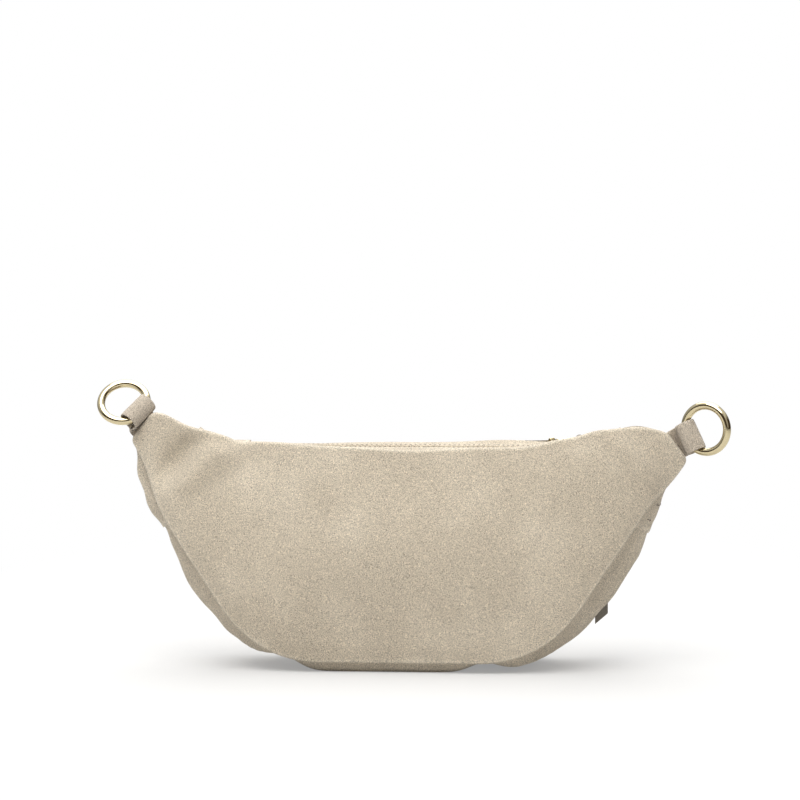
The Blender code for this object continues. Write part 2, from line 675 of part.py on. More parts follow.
def slider(name, x, centre, across, up, wide, material):
    """The slider: two flanged wings joined by the divider, and a bail along wide that its link turns on."""
    half = SLIDER_LENGTH / 2.0
    inside = 0.5 * TOOTH_HEIGHT + 0.00025
    outside = inside + SLIDER_PLATE
    slit = TAPE / 2.0 + 0.00025
    wall = SLIDER_HALF_WIDTH - SLIDER_FLANGE
    edge, bevel = SLIDER_HALF_WIDTH, 0.0004
    wing = [(-edge, slit), (-edge, outside - bevel), (bevel - edge, outside)]
    wing += [(-a, b) for a, b in reversed(wing)]
    wing += [(wall, slit), (wall, inside), (-wall, inside), (-wall, slit)]
    at = centre + x * X
    points, faces = prism(wing, -half, half, across, up, X)
    body = mesh_object(name, points + at, faces, material, origin=at)
    points, faces = prism([(a, -b) for a, b in wing], -half, half, across, up, X)
    lower = mesh_object(name + "_lower_wing", points + at, faces, material)
    front = half - 0.0003
    back = front - DIVIDER_LENGTH
    plan = [(back, 0.0), (0.5 * (front + back), -DIVIDER_HALF), (front, -DIVIDER_HALF * 0.7)]
    plan += [(front, DIVIDER_HALF * 0.7), (0.5 * (front + back), DIVIDER_HALF)]
    tall = inside + 0.5 * SLIDER_PLATE
    points, faces = prism(plan, -tall, tall, X, across, up)
    divider = mesh_object(name + "_divider", points + at, faces, material)
    rise = outside + EYE_RADIUS + LINK_WIRE + GAP
    foot = outside - 0.5 * SLIDER_PLATE
    bend = 0.0009
    legs = [(-BAIL_HALF, foot), (-BAIL_HALF, outside), (-BAIL_HALF, rise - bend)]
    legs += [(0.3 * bend - BAIL_HALF, rise - 0.3 * bend), (bend - BAIL_HALF, rise)]
    legs += [(-a, b) for a, b in reversed(legs)]
    path = [a * wide + b * up for a, b in legs]
    points, faces = tube(path, BAIL_WIRE, 8, False)
    bail = mesh_object(name + "_bail", points + at, faces, material)
    joined(body, [divider, lower, bail])
    return at + rise * up


def link(name, eye, down, wide, material):
    """The metal link: an eye round the slider's bail, and a frame for the leather pull. Returns the pull's axis."""
    out = np.cross(wide, down)
    turn = 2.0 * math.pi * np.arange(14) / 14
    circle = eye + EYE_RADIUS * (np.cos(turn)[:, None] * down + np.sin(turn)[:, None] * out)
    points, faces = tube(circle, LINK_WIRE, 8, True)
    body = mesh_object(name, points, faces, material, origin=eye, round_faces=True)
    top = EYE_RADIUS + 0.7 * LINK_WIRE
    low = top + LINK_LENGTH
    half = 0.5 * LINK_WIDTH
    bend = 0.0018
    path = []
    for sx, level, start in ((-1, top, 1.5), (-1, low, 1.0), (1, low, 0.5), (1, top, 0.0)):
        middle = np.array((sx * (half - bend), level + (bend if level == top else -bend)))
        for t in (0.0, 0.25, 0.5):
            angle = math.pi * (start - t)
            path.append(middle + bend * np.array((math.cos(angle), math.sin(angle))))
    path = [eye + p[0] * wide + p[1] * down for p in path]
    points, faces = tube(path, LINK_WIRE, 8, True)
    frame = mesh_object(name + "_frame", points, faces, material)
    joined(body, [frame])
    return eye + low * down


def leather_pull(name, axis, down, length, wide, material):
    """The leather pull: a strip folded round the link's lower bar, its end cut on the slant."""
    out = np.cross(wide, down)
    bore = LINK_WIRE + GAP
    arc, side = fold_profile(bore, PULL_LEATHER, length)

    def place(a, b, w, inner):
        far = 0.0 if inner else max(0.0, -a / length)
        slant = PULL_CUT * w * smooth((far - 0.6) / 0.4)
        return axis - (a + slant) * down + b * out + w * wide

    points, faces = folded_strip(arc, side, bore, lambda a: PULL_WIDTH / 2.0, place)
    mesh_object(name, points, faces, material, origin=axis, round_faces=True)


def build_zip(kind, slider_x, place, names, tape_end, hanging, pull_length, looks):
    """One zip, closed: two tapes, its stops, the slider at the right, the link and the leather pull."""
    centre, across, up = place
    wide, link_down, pull_down = hanging
    metal, tape, leather = looks
    last = slider_x + SLIDER_LENGTH / 2.0 - DIVIDER_LENGTH - 0.0009
    first = -slider_x - SLIDER_LENGTH / 2.0 + 0.001
    last = first + math.floor((last - first) / PITCH) * PITCH
    for side, word, shift in ((-1, names[0], 0.0), (1, names[1], 0.5)):
        zip_tape(f"{kind}_zip_tape_{word}", side, shift, first, last, tape_end, centre, across, up, tape)
        start = slider_x + SLIDER_LENGTH / 2.0 + GAP
        top_stop(f"{kind}_zip_top_stop_{word}", side, start, centre, across, up, metal)
    end_stop(f"{kind}_zip_end_stop", first - GAP, centre, across, up, metal)
    eye = slider(f"{kind}_slider", slider_x, centre, across, up, wide, metal)
    axis = link(f"{kind}_puller", eye, unit(link_down), wide, metal)
    leather_pull(f"{kind}_pull", axis, unit(pull_down), pull_length, wide, leather)


# Linings


def lining_bag(name, levels, count, material, mouth=None):
    """A fabric bag from level loops. Each level gives (z, half width, low y, high y); mouth leaves out cells."""
    turn = 2.0 * math.pi * (np.arange(count) + 0.5) / count
    c, s = np.cos(turn), np.sin(turn)
    power = 0.55
    gx = np.sign(c) * np.abs(c) ** power
    gy = np.sign(s) * np.abs(s) ** power
    sheets = []
    for inset in (0.0, LINING):
        loops = []
        for number, (z, half, low, high) in enumerate(levels):
            x = (half - inset) * gx
            bottom, top = low(x, z) + inset, high(x, z) - inset
            raised = inset if number < 2 else (-inset if z > levels[-1][0] - 0.0009 else 0.0)
            y = 0.5 * (bottom + top) + 0.5 * (top - bottom) * gy
            loops.append(np.stack((x, y, np.full(count, z + raised)), axis=1))
        sheets.append(np.concatenate(loops))
    faces = grid_quads(len(levels), count, wrap=True)
    if mouth is not None:
        middle = [np.mean(sheets[0][list(face)], axis=0) for face in faces]
        faces = [face for face, m in zip(faces, middle) if not mouth(m)]
    half = count // 2
    cap = [(k, (k + 1) % count, count - 2 - k, count - 1 - k) for k in range(0, half - 1)]
    cap = [tuple(reversed(face)) for face in cap]
    if mouth is not None:
        last = (len(levels) - 1) * count
        cap += [tuple(last + v for v in reversed(face)) for face in cap]
    points, faces = thick(*sheets, faces + cap)
    return mesh_object(name, points, faces, material, round_faces=True)


def inner_half_width(z, inset):
    """Half the width inside the outline at a height, that far in from the outline."""
    flank = HALF[LOWER_MARK:]
    inner = flank - inset * outward_at(flank) * np.sign(outward_at(flank)[:1, :1])
    order = np.argsort(inner[:, 1])
    return float(np.interp(z, inner[order, 1], inner[order, 0]))


def build_linings(fabric):
    zip_y = 0.5 * (FRONT_TOP_DEPTH - BACK_TOP_DEPTH)
    wall = SUEDE + LINING_ROOM
    inset = SEAM_INSET + wall
    pocket_face = POCKET_FACE_Y - SUEDE - GAP - 0.5 * TAPE - 0.5 * TOOTH_HEIGHT - GAP
    pocket_top = POCKET_ZIP_Z + SLIDER_HALF_WIDTH + 0.009

    def back_limit(x, z):
        return seam_depths(x, z)[0] + wall

    def pocket_front(x, z):
        return np.minimum(seam_depths(x, z)[1] - SUEDE - 0.001, pocket_face)

    def pocket_back(x, z):
        return pocket_front(x, z) - POCKET_DEPTH

    def front_limit(x, z):
        behind = pocket_back(x, z) - 3.0 * GAP
        return np.minimum(seam_depths(x, z)[1] - wall, behind if z < pocket_top + 0.002 else 1.0)

    def slot_low(x, z):
        return zip_y - SLIDER_HALF_WIDTH - 0.0028 + 0.0 * x

    def slot_high(x, z):
        return zip_y + SLIDER_HALF_WIDTH + 0.0028 + 0.0 * x

    roof = ZIP_STRIP_Z - SUEDE - GAP - 0.5 * TAPE - 0.5 * TOOTH_HEIGHT - GAP
    floor = BASE_DROP + inset
    widest = TAB_UPPER_X - TAB_TONGUE - 0.003
    levels = []
    above = pocket_top - floor
    rises = (0.0, 0.002, 0.012, 0.03, 0.055, 0.5 * (0.055 + above), above + 0.001, above + 0.010)
    for rise in (*rises, 0.122, roof - floor - 0.0012):
        z = floor + rise
        half = min(widest, inner_half_width(z + 0.001, inset)) - (0.008 if rise == 0.0 else 0.0)
        levels.append((z, half, back_limit, front_limit))
    levels.append((roof, half - 0.004, back_limit, front_limit))
    levels.append((roof, ZIP_STRIP_END_X + 0.008, slot_low, slot_high))
    lining_bag("main_lining", levels, 24, fabric)

    low, high = POCKET_ZIP_Z - SLIDER_HALF_WIDTH - 0.0012, POCKET_ZIP_Z + SLIDER_HALF_WIDTH + 0.0012
    floor = POCKET_FLOOR_Z
    levels = []
    for z in (floor, floor + 0.002, 0.5 * (floor + low), low, high, pocket_top - 0.002, pocket_top):
        half = min(inner_half_width(z, inset + 0.002), TAPE_END_X + 0.004)
        levels.append((z, half, pocket_back, pocket_front))

    def mouth(m):
        return low < m[2] < high and m[1] > pocket_front(m[0], m[2]) - 0.3 * POCKET_DEPTH

    lining_bag("pocket_lining", levels, 24, fabric, mouth=mouth)


def main():
    for old in list(bpy.data.objects):
        bpy.data.objects.remove(old)
    suede = principled("suede", (0.52, 0.45, 0.36), 0.92)
    tab_suede = principled("tab_suede", (0.45, 0.38, 0.30), 0.92)
    leather = principled("pull_leather", (0.20, 0.17, 0.14), 0.7)
    fabric = principled("lining_fabric", (0.22, 0.19, 0.16), 0.85)
    tape = principled("zip_tape", (0.36, 0.31, 0.26), 0.8)
    gold = principled("pale_gold", (0.83, 0.68, 0.42), 0.22, 1.0)
    build_panels(suede)
    build_gussets(suede)
    build_ring(-1, "left", LEFT_TAB_DIRECTION, LEFT_FOLD_LINE, LEFT_RING_SWING, tab_suede, gold)
    build_ring(1, "right", RIGHT_TAB_DIRECTION, RIGHT_FOLD_LINE, RIGHT_RING_SWING, tab_suede, gold)
    looks = (gold, tape, leather)
    tape_z = ZIP_STRIP_Z - SUEDE - GAP - TAPE / 2.0
    rises = [math.radians(angle) for angle in (MAIN_LINK_RISE, MAIN_PULL_RISE)]
    toward = [math.cos(rise) * X + math.sin(rise) * Z for rise in rises]
    centre = np.array((0.0, 0.5 * (FRONT_TOP_DEPTH - BACK_TOP_DEPTH), tape_z))
    place, names = (centre, Y, Z), ("back", "front")
    build_zip("main", MAIN_SLIDER_X, place, names, ZIP_STRIP_END_X, (Y, *toward), MAIN_PULL_LENGTH, looks)
    slant = math.radians(POCKET_PULL_SLANT)
    down = math.sin(slant) * Y - math.cos(slant) * Z
    centre = np.array((0.0, POCKET_FACE_Y - SUEDE - GAP - TAPE / 2.0, POCKET_ZIP_Z))
    place, names = (centre, Z, Y), ("lower", "upper")
    build_zip("pocket", POCKET_SLIDER_X, place, names, TAPE_END_X, (X, down, down), POCKET_PULL_LENGTH, looks)
    build_linings(fabric)


main()
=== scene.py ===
"""The looks of a crescent suede belt bag, dressed round its solid frame and run as a script."""

import math

import bpy
import numpy as np
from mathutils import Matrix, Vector


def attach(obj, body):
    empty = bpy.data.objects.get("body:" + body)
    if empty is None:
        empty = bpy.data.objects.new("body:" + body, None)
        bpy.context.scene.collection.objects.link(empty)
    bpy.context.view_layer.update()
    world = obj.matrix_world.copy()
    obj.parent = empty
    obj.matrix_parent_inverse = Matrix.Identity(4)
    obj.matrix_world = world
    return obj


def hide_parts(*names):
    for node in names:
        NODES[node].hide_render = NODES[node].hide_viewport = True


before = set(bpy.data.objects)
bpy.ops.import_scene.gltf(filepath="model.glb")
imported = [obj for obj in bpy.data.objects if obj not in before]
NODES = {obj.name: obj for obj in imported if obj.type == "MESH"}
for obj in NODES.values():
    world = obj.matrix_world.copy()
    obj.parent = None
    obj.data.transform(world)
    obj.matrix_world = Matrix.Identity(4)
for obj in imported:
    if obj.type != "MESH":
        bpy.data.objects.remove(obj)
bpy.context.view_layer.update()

bl_info = {
    "name": "Suede belt bag",
    "version": (1, 0, 0),
    "blender": (4, 5, 0),
    "location": "3D View > Sidebar > Belt bag",
    "description": "Builds the suede, stitching, zips, rings and stage of a belt bag round its frame",
    "category": "Object",
}

# Outline of the panels: corners as (x, z, length of its rounding), the same as in the solids
CORNERS = (
    (0.0, 0.1465, 0.0),
    (0.100, 0.1465, 0.030),
    (0.154, 0.1645, 0.0090),
    (0.1675, 0.1622, 0.004),
    (0.1815, 0.1440, 0.004),
    (0.158, 0.1035, 0.030),
    (0.0932, 0.0065, 0.043),
    (0.0, 0.0065, 0.0),
)
UPPER_CORNER, LOWER_CORNER = 3, 4
TOP_Z = 0.1465
BASE_Z = 0.0065
FLANK_Z = 0.1035
CORNER_LIFT = 0.0055
LIFT_START_X = 0.133
LIFT_END_X = 0.1675
SHOULDER_X = 0.154
BACK_DEPTHS = (0.022, 0.036)
FRONT_DEPTHS = (0.010, 0.035)
MIDDLE_Y = 0.5 * (FRONT_DEPTHS[0] - BACK_DEPTHS[0])
CORNER_Y = -0.008
CORNER_HALF_DEPTH = 0.0078
NARROWING = (0.145, 0.1815)
SUEDE = 0.0016
GAP = 0.0003
SEAM_INSET = 0.0010
CREASE = 0.0044
OVERLAP_Z = 0.095
GUSSET_TOP_Z = 0.106

# How finely paths and sheets are divided
BEND_LENGTH = 0.02
EDGE_STEPS = 5
SUEDE_SHARP = 70.0

# The soft body. Hills along an edge as (height, centre x, width)
SHOULDER_SAG = (-0.0030, -0.1480, 0.0125)
BACK_RIM_HILLS = (
    (0.0030, 0.0975, 0.0150),
    (0.0034, 0.1210, 0.0120),
    (0.0019, -0.0810, 0.0190),
    (-0.0023, 0.0020, 0.0330),
    (-0.0018, -0.1090, 0.0070),
)
FRONT_RIM_HILLS = (
    (-0.0036, -0.1130, 0.0180),
    (-0.0030, -0.1500, 0.0160),
    (0.0018, 0.0640, 0.0280),
    (-0.0014, -0.0700, 0.0300),
)
BASE_RECESSES = ((0.85, -0.0750, 0.0140), (0.85, 0.0550, 0.0130))
RIM_LOW_Z = 0.095
RIM_RUN = 0.045

# Folds as (share of the fold depth, centre (x, z), width, turn in degrees, length)
BACK_FOLDS = (
    (0.90, (-0.1290, 0.1370), 0.0110, 40.0, 0.0260),
    (-2.04, (-0.1500, 0.1390), 0.0095, 54.0, 0.0230),
    (-0.40, (-0.1080, 0.1330), 0.0100, 35.0, 0.0240),
    (0.50, (0.1510, 0.1360), 0.0060, -52.0, 0.0200),
    (-0.60, (0.1420, 0.1270), 0.0060, -48.0, 0.0200),
    (0.30, (0.1090, 0.1280), 0.0160, -25.0, 0.0220),
    (0.25, (-0.0840, 0.0610), 0.0200, 0.0, 0.0200),
)
FRONT_FOLDS = (
    (-0.60, (0.0, 0.052), 0.012, 0.0, 0.080),
    (0.50, (0.070, 0.055), 0.014, 35.0, 0.030),
    (0.50, (-0.085, 0.060), 0.012, -40.0, 0.030),
)
BELLY = (0.0060, (0.0, 0.070), 0.046, 0.0, 0.110)
PUCKER_PITCH = 0.011
DRAWN_IN = 0.012
# A thin pale line along the panels' edges: partly rubbed nap, partly a painted highlight on the turned edge
RUB_AND_HIGHLIGHT_FROM_EDGE, RUB_AND_HIGHLIGHT_WIDTH = 0.0008, 0.0010
GUSSET_EDGE, STRIP_EDGE = 0.0009, 0.0010
CREASE_WIDTH = 0.0016

# Zips: plane, chain and opening
STRIP_Z = 0.1455
STRIP_END_X = 0.1095
COVER_X = 0.1030
OPENING_HALF = 0.0053
TAPE = 0.0007
TAPE_REACH = 0.0050
PITCH = 0.0048
TOOTH_HEIGHT = 0.0026
POCKET_Z = 0.087
POCKET_Y = 0.0268
MAIN_SLIDER_X = 0.0935
POCKET_SLIDER_X = 0.1265
POCKET_TAPE_END_X = 0.1353
OVERRUN = 0.0035
SLIDER_LENGTH = 0.011
DIVIDER_LENGTH = 0.0035
TOOTH_OUTLINE = (
    (-0.00085, 0.0032), (-0.00058, 0.0017), (-0.00123, -0.00075), (-0.0005, -0.00162),
    (0.0005, -0.00162), (0.00123, -0.00075), (0.00058, 0.0017), (0.00085, 0.0032),
)
TOOTH_MIDDLE = 0.0008
TOOTH_BEVEL = 0.00022

# Links, pulls, tabs and rings
LINK_WIRE = 0.0008
EYE_RADIUS = 0.00185
LINK_WIDTH = 0.0118
LINK_LENGTH = 0.0155
LINK_BEND = 0.0018
EYE_HEIGHT = 0.0058
MAIN_PULL_LENGTH = 0.0180
POCKET_PULL_LENGTH = 0.0445
PULL_LEATHER = 0.0013
PULL_WIDTH = 0.0086
PULL_CUT = 0.9
RING_RADIUS = 0.015
RING_WIRE = 0.0026
TAB_LEATHER = 0.0013
TAB_WIDTH = 0.020
TAB_REACH = 0.0198
TAB_TONGUE = 0.007
TAB_INSIDE = 0.40
TAB_TAIL = 0.010

# Stitching and linings
THREAD_SIDES = 6
PULL_STITCH, PULL_THREAD = 0.0015, 0.00025
SEAM_FROM_ZIP = 0.0019
END_SEAM_HEIGHTS = (0.0985, 0.1080)
CLOTH = 0.0008
MOUTH = 0.0076
LINING_HALF = 0.1575
POCKET_DEPTH = 0.0085

X = np.array((1.0, 0.0, 0.0))
Y = np.array((0.0, 1.0, 0.0))
Z = np.array((0.0, 0.0, 1.0))


# Numbers and curves


def smooth(t):
    """0 below 0, 1 above 1, and 3t^2 - 2t^3 between."""
    t = np.clip(t, 0.0, 1.0)
    return t * t * (3.0 - 2.0 * t)


def lerp(a, b, t):
    return a + (b - a) * t


def unit(v):
    v = np.asarray(v, dtype=float)
    return v / np.linalg.norm(v, axis=-1, keepdims=True)


def around(count, a, b):
    """A circle of count points: cos(turn) a + sin(turn) b."""
    turn = 2.0 * math.pi * np.arange(count) / count
    return np.cos(turn)[:, None] * a + np.sin(turn)[:, None] * b


def powered(value, power):
    """|value|^power with the sign of the value."""
    return np.sign(value) * np.abs(value) ** power


def hermite(t, start, end, leaving, arriving):
    """(2t^3 - 3t^2 + 1) start + (3t^2 - 2t^3) end + (t^3 - 2t^2 + t) leaving + (t^3 - t^2) arriving."""
    held = (2.0 * t**3 - 3.0 * t**2 + 1.0) * start + (3.0 * t**2 - 2.0 * t**3) * end
    return held + (t**3 - 2.0 * t**2 + t) * leaving + (t**3 - t**2) * arriving


def in_row(x, y, z):
    """Points whose x, y and z are numbers or rows of one length."""
    return np.stack(np.broadcast_arrays(x, y, z), axis=-1)


def bump(x, z, centre, width, turn, length):
    """A hill over (x, z): exp(-(across/width)^2 - (along/length)^2), its length at turn degrees to x."""
    c, s = math.cos(math.radians(turn)), math.sin(math.radians(turn))
    dx, dz = x - centre[0], z - centre[1]
    along, across = c * dx + s * dz, c * dz - s * dx
    return np.exp(-((across / width) ** 2) - (along / length) ** 2)


def bumps(x, z, table):
    """The sum of height times bump for each row of a table."""
    return sum(height * bump(x, z, *shape) for height, *shape in table)


def waves(x, z, seed, shortest, longest, count=9):
    """A gently uneven surface: the mean of sine waves with seeded directions, lengths and phases."""
    draw = np.random.default_rng(seed)
    heading = draw.uniform(0.0, math.pi, count)
    length = draw.uniform(shortest, longest, count)
    phase = draw.uniform(0.0, 2.0 * math.pi, count)
    total = 0.0
    for h, l, p in zip(heading, length, phase):
        total = total + np.sin(2.0 * math.pi * (math.cos(h) * x + math.sin(h) * z) / l + p)
    return total / count


def rounded_path(corners, fine):
    """Straight runs and parabolas, (1-t)^2 start + 2t(1-t) corner + t^2 end, and each corner's index."""
    parts, marks, count = [np.array([corners[0][:2]])], [0], 1
    t = np.linspace(0.0, 1.0, fine + 1)[:, None]
    for before, here, after in zip(corners, corners[1:], corners[2:]):
        corner = np.array(here[:2])
        start = corner + here[2] * unit(np.array(before[:2]) - corner)
        end = corner + here[2] * unit(np.array(after[:2]) - corner)
        last = parts[-1][-1]
        steps = max(2, int(np.linalg.norm(start - last) / 0.0005))
        run = lerp(last, start, np.linspace(0.0, 1.0, steps + 1)[1:-1, None])
        parts += [run, lerp(lerp(start, corner, t), lerp(corner, end, t), t)]
        marks.append(count + len(run) + fine // 2)
        count += len(run) + fine + 1
    end = np.array(corners[-1][:2])
    steps = max(2, int(np.linalg.norm(end - parts[-1][-1]) / 0.0005))
    parts.append(lerp(parts[-1][-1], end, np.linspace(0.0, 1.0, steps + 1)[1:, None]))
    return np.concatenate(parts), marks + [count + steps - 1]


HALF, MARKS = rounded_path(CORNERS, 40)
UPPER_MARK, LOWER_MARK = MARKS[UPPER_CORNER], MARKS[LOWER_CORNER]


def lifted(side):
    """The half outline at the right (1) or left (-1): the left corner is raised, the right one lowered."""
    x, z = HALF[:, 0], HALF[:, 1]
    share = smooth((x - LIFT_START_X) / (LIFT_END_X - LIFT_START_X)) * smooth((z - FLANK_Z) / 0.035)
    return np.stack((side * x, z - side * CORNER_LIFT * share), axis=1)


def along(points, t):
    """Points at the shares t of a path's length; a bend counts as extra length, so it gets more points."""
    step = np.diff(points, axis=0)
    length = np.linalg.norm(step, axis=1)
    heading = np.unwrap(np.arctan2(step[:, -1], step[:, 0]))
    turn = np.abs(np.diff(heading, prepend=heading[0]))
    run = np.concatenate(((0.0,), np.cumsum(length + BEND_LENGTH * turn)))
    return np.stack([np.interp(t * run[-1], run, points[:, k]) for k in range(points.shape[1])], axis=1)


def spaced(count, edge):
    """Shares from 0 to 1, evenly spaced but for a few squared-up steps within edge of both ends."""
    near = edge * (np.arange(EDGE_STEPS) / EDGE_STEPS) ** 1.5
    return np.concatenate((near, np.linspace(edge, 1.0 - edge, count), 1.0 - near[::-1]))


def seam_depths(x, z):
    """Y of the back seam, straight, and of the front one, 1 - (1 - down)^1.7, drawn together at the corners."""
    down = np.clip((TOP_Z - z) / TOP_Z, 0.0, 1.0)
    back = -lerp(*BACK_DEPTHS, down)
    front = lerp(*FRONT_DEPTHS, 1.0 - (1.0 - down) ** 1.7)
    close = smooth((np.abs(x) - NARROWING[0]) / (NARROWING[1] - NARROWING[0]))
    return lerp(back, CORNER_Y - CORNER_HALF_DEPTH, close), lerp(front, CORNER_Y + CORNER_HALF_DEPTH, close)


def on_seam(points, front):
    """(x, z) points put on the front seam or the back one."""
    x, z = points[:, 0], points[:, 1]
    return np.stack((x, seam_depths(x, z)[1 if front else 0], z), axis=1)


def hill(x, centre, width):
    """exp(-((x - centre) / width)^2)."""
    return np.exp(-(((x - centre) / width) ** 2))


def hills(x, table):
    """The sum of height times hill for each row of a table."""
    return sum(height * hill(x, *shape) for height, *shape in table)


def corner_sag(x):
    """The left shoulder has sunk a little, the same through the whole depth of the bag."""
    return hills(x, (SHOULDER_SAG,))


def back_rim(x):
    """Height of the back's top edge above its even line: low in the middle, high towards both shoulders."""
    return corner_sag(x) + hills(x, BACK_RIM_HILLS)


def front_rim(x):
    """The front's top edge drops where the gusset ends begin, and is uneven between them."""
    drop = 0.0026 * hill(np.abs(x), 0.1190, 0.0140) + 0.0022 * smooth((np.abs(x) - 0.125) / 0.015)
    return corner_sag(x) - drop + hills(x, FRONT_RIM_HILLS)


def fullness(x, z):
    """How much further than its solid the soft gusset stands out: smooth steps up and down the height, and a
    hill on each side, more and higher up at the left."""
    left = 0.0064 * smooth((z - 0.032) / 0.045) + 0.0016 * hill(z, 0.132, 0.018)
    left = left * (1.0 - smooth((z - 0.126) / 0.024))
    right = 0.0060 * smooth((z - 0.030) / 0.045) * (1.0 - smooth((z - 0.098) / 0.028))
    right = right + 0.0040 * hill(z, 0.085, 0.014)
    return np.where(x < 0.0, left, right) * smooth((np.abs(x) - 0.055) / 0.040)


def leant(points):
    """The filled bag leans to the left below its corners: the back most, the front not at all."""
    lean = bpy.context.scene.belt_bag.lean
    low = 1.0 - smooth((points[..., 2] - 0.100) / 0.040)
    behind = np.clip((0.030 - points[..., 1]) / 0.060, 0.0, 1.0)
    return points - (lean * low * behind)[..., None] * X


# Meshes


def sheet_faces(rows, columns, keep=None, wrap=False, capped=(False, False)):
    """Quads of a grid and of its twin behind it, and a rim wherever a kept cell has no kept neighbour."""
    cells = columns if wrap else columns - 1
    keep = np.ones((rows - 1, cells), bool) if keep is None else keep
    i, j = np.nonzero(keep)
    k = (j + 1) % columns
    a, b, c, d = i * columns + j, i * columns + k, (i + 1) * columns + k, (i + 1) * columns + j
    behind = rows * columns
    quads = [np.stack((a, b, c, d), axis=1), behind + np.stack((d, c, b, a), axis=1)]
    framed = np.pad(keep, ((1, 1), (0, 0)))
    framed = np.pad(framed, ((0, 0), (1, 1)), mode="wrap") if wrap else np.pad(framed, ((0, 0), (1, 1)))
    j = np.arange(columns // 2 - 1)
    cap = np.stack((columns - 1 - j, columns - 2 - j, j + 1, j), axis=1)
    for end, number in ((0, 0), (-1, (rows - 1) * columns)):
        if capped[end]:
            framed[end] = True
            turned = number + (cap if end == 0 else cap[:, ::-1])
            quads += [turned, behind + turned[:, ::-1]]
    i, j = np.nonzero(keep)
    for di, dj, start, end in ((-1, 0, a, b), (0, 1, b, c), (1, 0, c, d), (0, -1, d, a)):
        free = ~framed[i + 1 + di, j + 1 + dj]
        s, e = start[free], end[free]
        quads.append(np.stack((e, s, behind + s, behind + e), axis=1))
    return np.concatenate(quads)


def tube_faces(rings, sides, closed):
    """Quads between the rings of a tube, and a fan of quads and triangles over each open end."""
    i, j = np.meshgrid(np.arange(rings if closed else rings - 1), np.arange(sides), indexing="ij")
    k, n = (j + 1) % sides, (i + 1) % rings
    quads = np.stack((i * sides + j, i * sides + k, n * sides + k, n * sides + j), axis=-1).reshape(-1, 4)
    if closed:
        return quads.tolist()
    half = sides // 2
    j = np.arange(half - 1)
    cap = np.stack((sides - 1 - j, sides - 2 - j, j + 1, j), axis=1)
    return quads.tolist() + cap.tolist() + ((rings - 1) * sides + cap[:, ::-1]).tolist()


def signed_volume(points, faces):
    """A sixth of the sum of the triple products of each face's fan of triangles."""
    quads = np.array([f if len(f) == 4 else (*f, f[2]) for f in faces])
    a, b, c, d = (points[quads[:, k]] for k in range(4))
    return float(np.sum(a * (np.cross(b, c) + np.cross(c, d)))) / 6.0


def build(name, points, faces, material, sharp=50.0, rim=None):
    """A mesh object at the origin, its faces outwards and smooth, with edges kept above sharp degrees."""
    points = np.asarray(points, dtype=float).reshape(-1, 3)
    faces = np.asarray(faces).tolist() if isinstance(faces, np.ndarray) else faces
    if signed_volume(points, faces) < 0.0:
        faces = [face[::-1] for face in faces]
    used = np.unique(np.concatenate([np.asarray(face) for face in faces]))
    number = np.full(len(points), -1)
    number[used] = np.arange(len(used))
    faces = [[int(number[v]) for v in face] for face in faces]
    mesh = bpy.data.meshes.new(name)
    mesh.from_pydata(points[used].tolist(), [], faces)
    # The pale-edge mask, partly rubbed nap and partly a painted highlight, kept as a point attribute.
    if rim is not None:
        rub_and_highlight = mesh.attributes.new("rub_and_highlight", "FLOAT", "POINT")
        rub_and_highlight.data.foreach_set("value", np.asarray(rim, dtype=np.float32).reshape(-1)[used])
    mesh.materials.append(material)
    mesh.shade_smooth()
    mesh.set_sharp_from_angle(angle=math.radians(sharp))
    mesh.update()
    made = bpy.data.objects.new(name, mesh)
    bpy.context.scene.collection.objects.link(made)
    return made


def doubled(name, sheets, finish, sharp, rub_and_highlight=None, **layout):
    """Two sheets, one behind the other, as one closed mesh; the last argument says how pale the first sheet is
    at its edges, partly rubbed nap and partly a painted highlight.
    """
    points = np.concatenate([sheet.reshape(-1, 3) for sheet in sheets])
    rim = None if rub_and_highlight is None else np.concatenate((rub_and_highlight.reshape(-1), np.zeros(rub_and_highlight.size)))
    return build(name, points, sheet_faces(*sheets[0].shape[:2], **layout), finishes()[finish], sharp, rim)


def settle(piece, body, slot, *nodes):
    """The piece rides on its body and stands for the nodes that it replaces, which are hidden; slot is not
    used.
    """
    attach(piece, body)
    if nodes:
        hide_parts(*nodes)
    return piece


def coons(bottom, top, left, right, u, v):
    """A sheet between four edges: both rulings added, less the one that is straight between the corners."""
    u, v = u[None, :, None], v[:, None, None]
    sheet = lerp(bottom[None], top[None], v) + lerp(left[:, None], right[:, None], u)
    return sheet - lerp(lerp(bottom[0], bottom[-1], u), lerp(top[0], top[-1], u), v)


def seam_sheet(bottom, top, left, right, u, v, dome, bow, outward):
    """A panel's face: its depth runs from bottom to top by rise^bow, plus a dome of 4 rise (1 - rise)."""
    sheet = coons(bottom, top, left, right, u, v)
    rise = np.clip((sheet[..., 2] - bottom[:, 2]) / (top[:, 2] - bottom[:, 2]), 0.0, 1.0)
    depth = lerp(bottom[:, 1], top[:, 1], rise**bow)
    for edge, share in ((left, 1.0 - smooth(6.0 * u)), (right, 1.0 - smooth(6.0 * (1.0 - u)))):
        height = (edge[:, 2] - edge[0, 2]) / (edge[-1, 2] - edge[0, 2])
        straight = lerp(edge[0, 1], edge[-1, 1], height**bow)
        depth = depth + (edge[:, 1] - straight)[:, None] * share[None]
    sheet[..., 1] = depth + outward * dome * (1.0 - (2.0 * u[None] - 1.0) ** 6) * 4.0 * rise * (1.0 - rise)
    return sheet


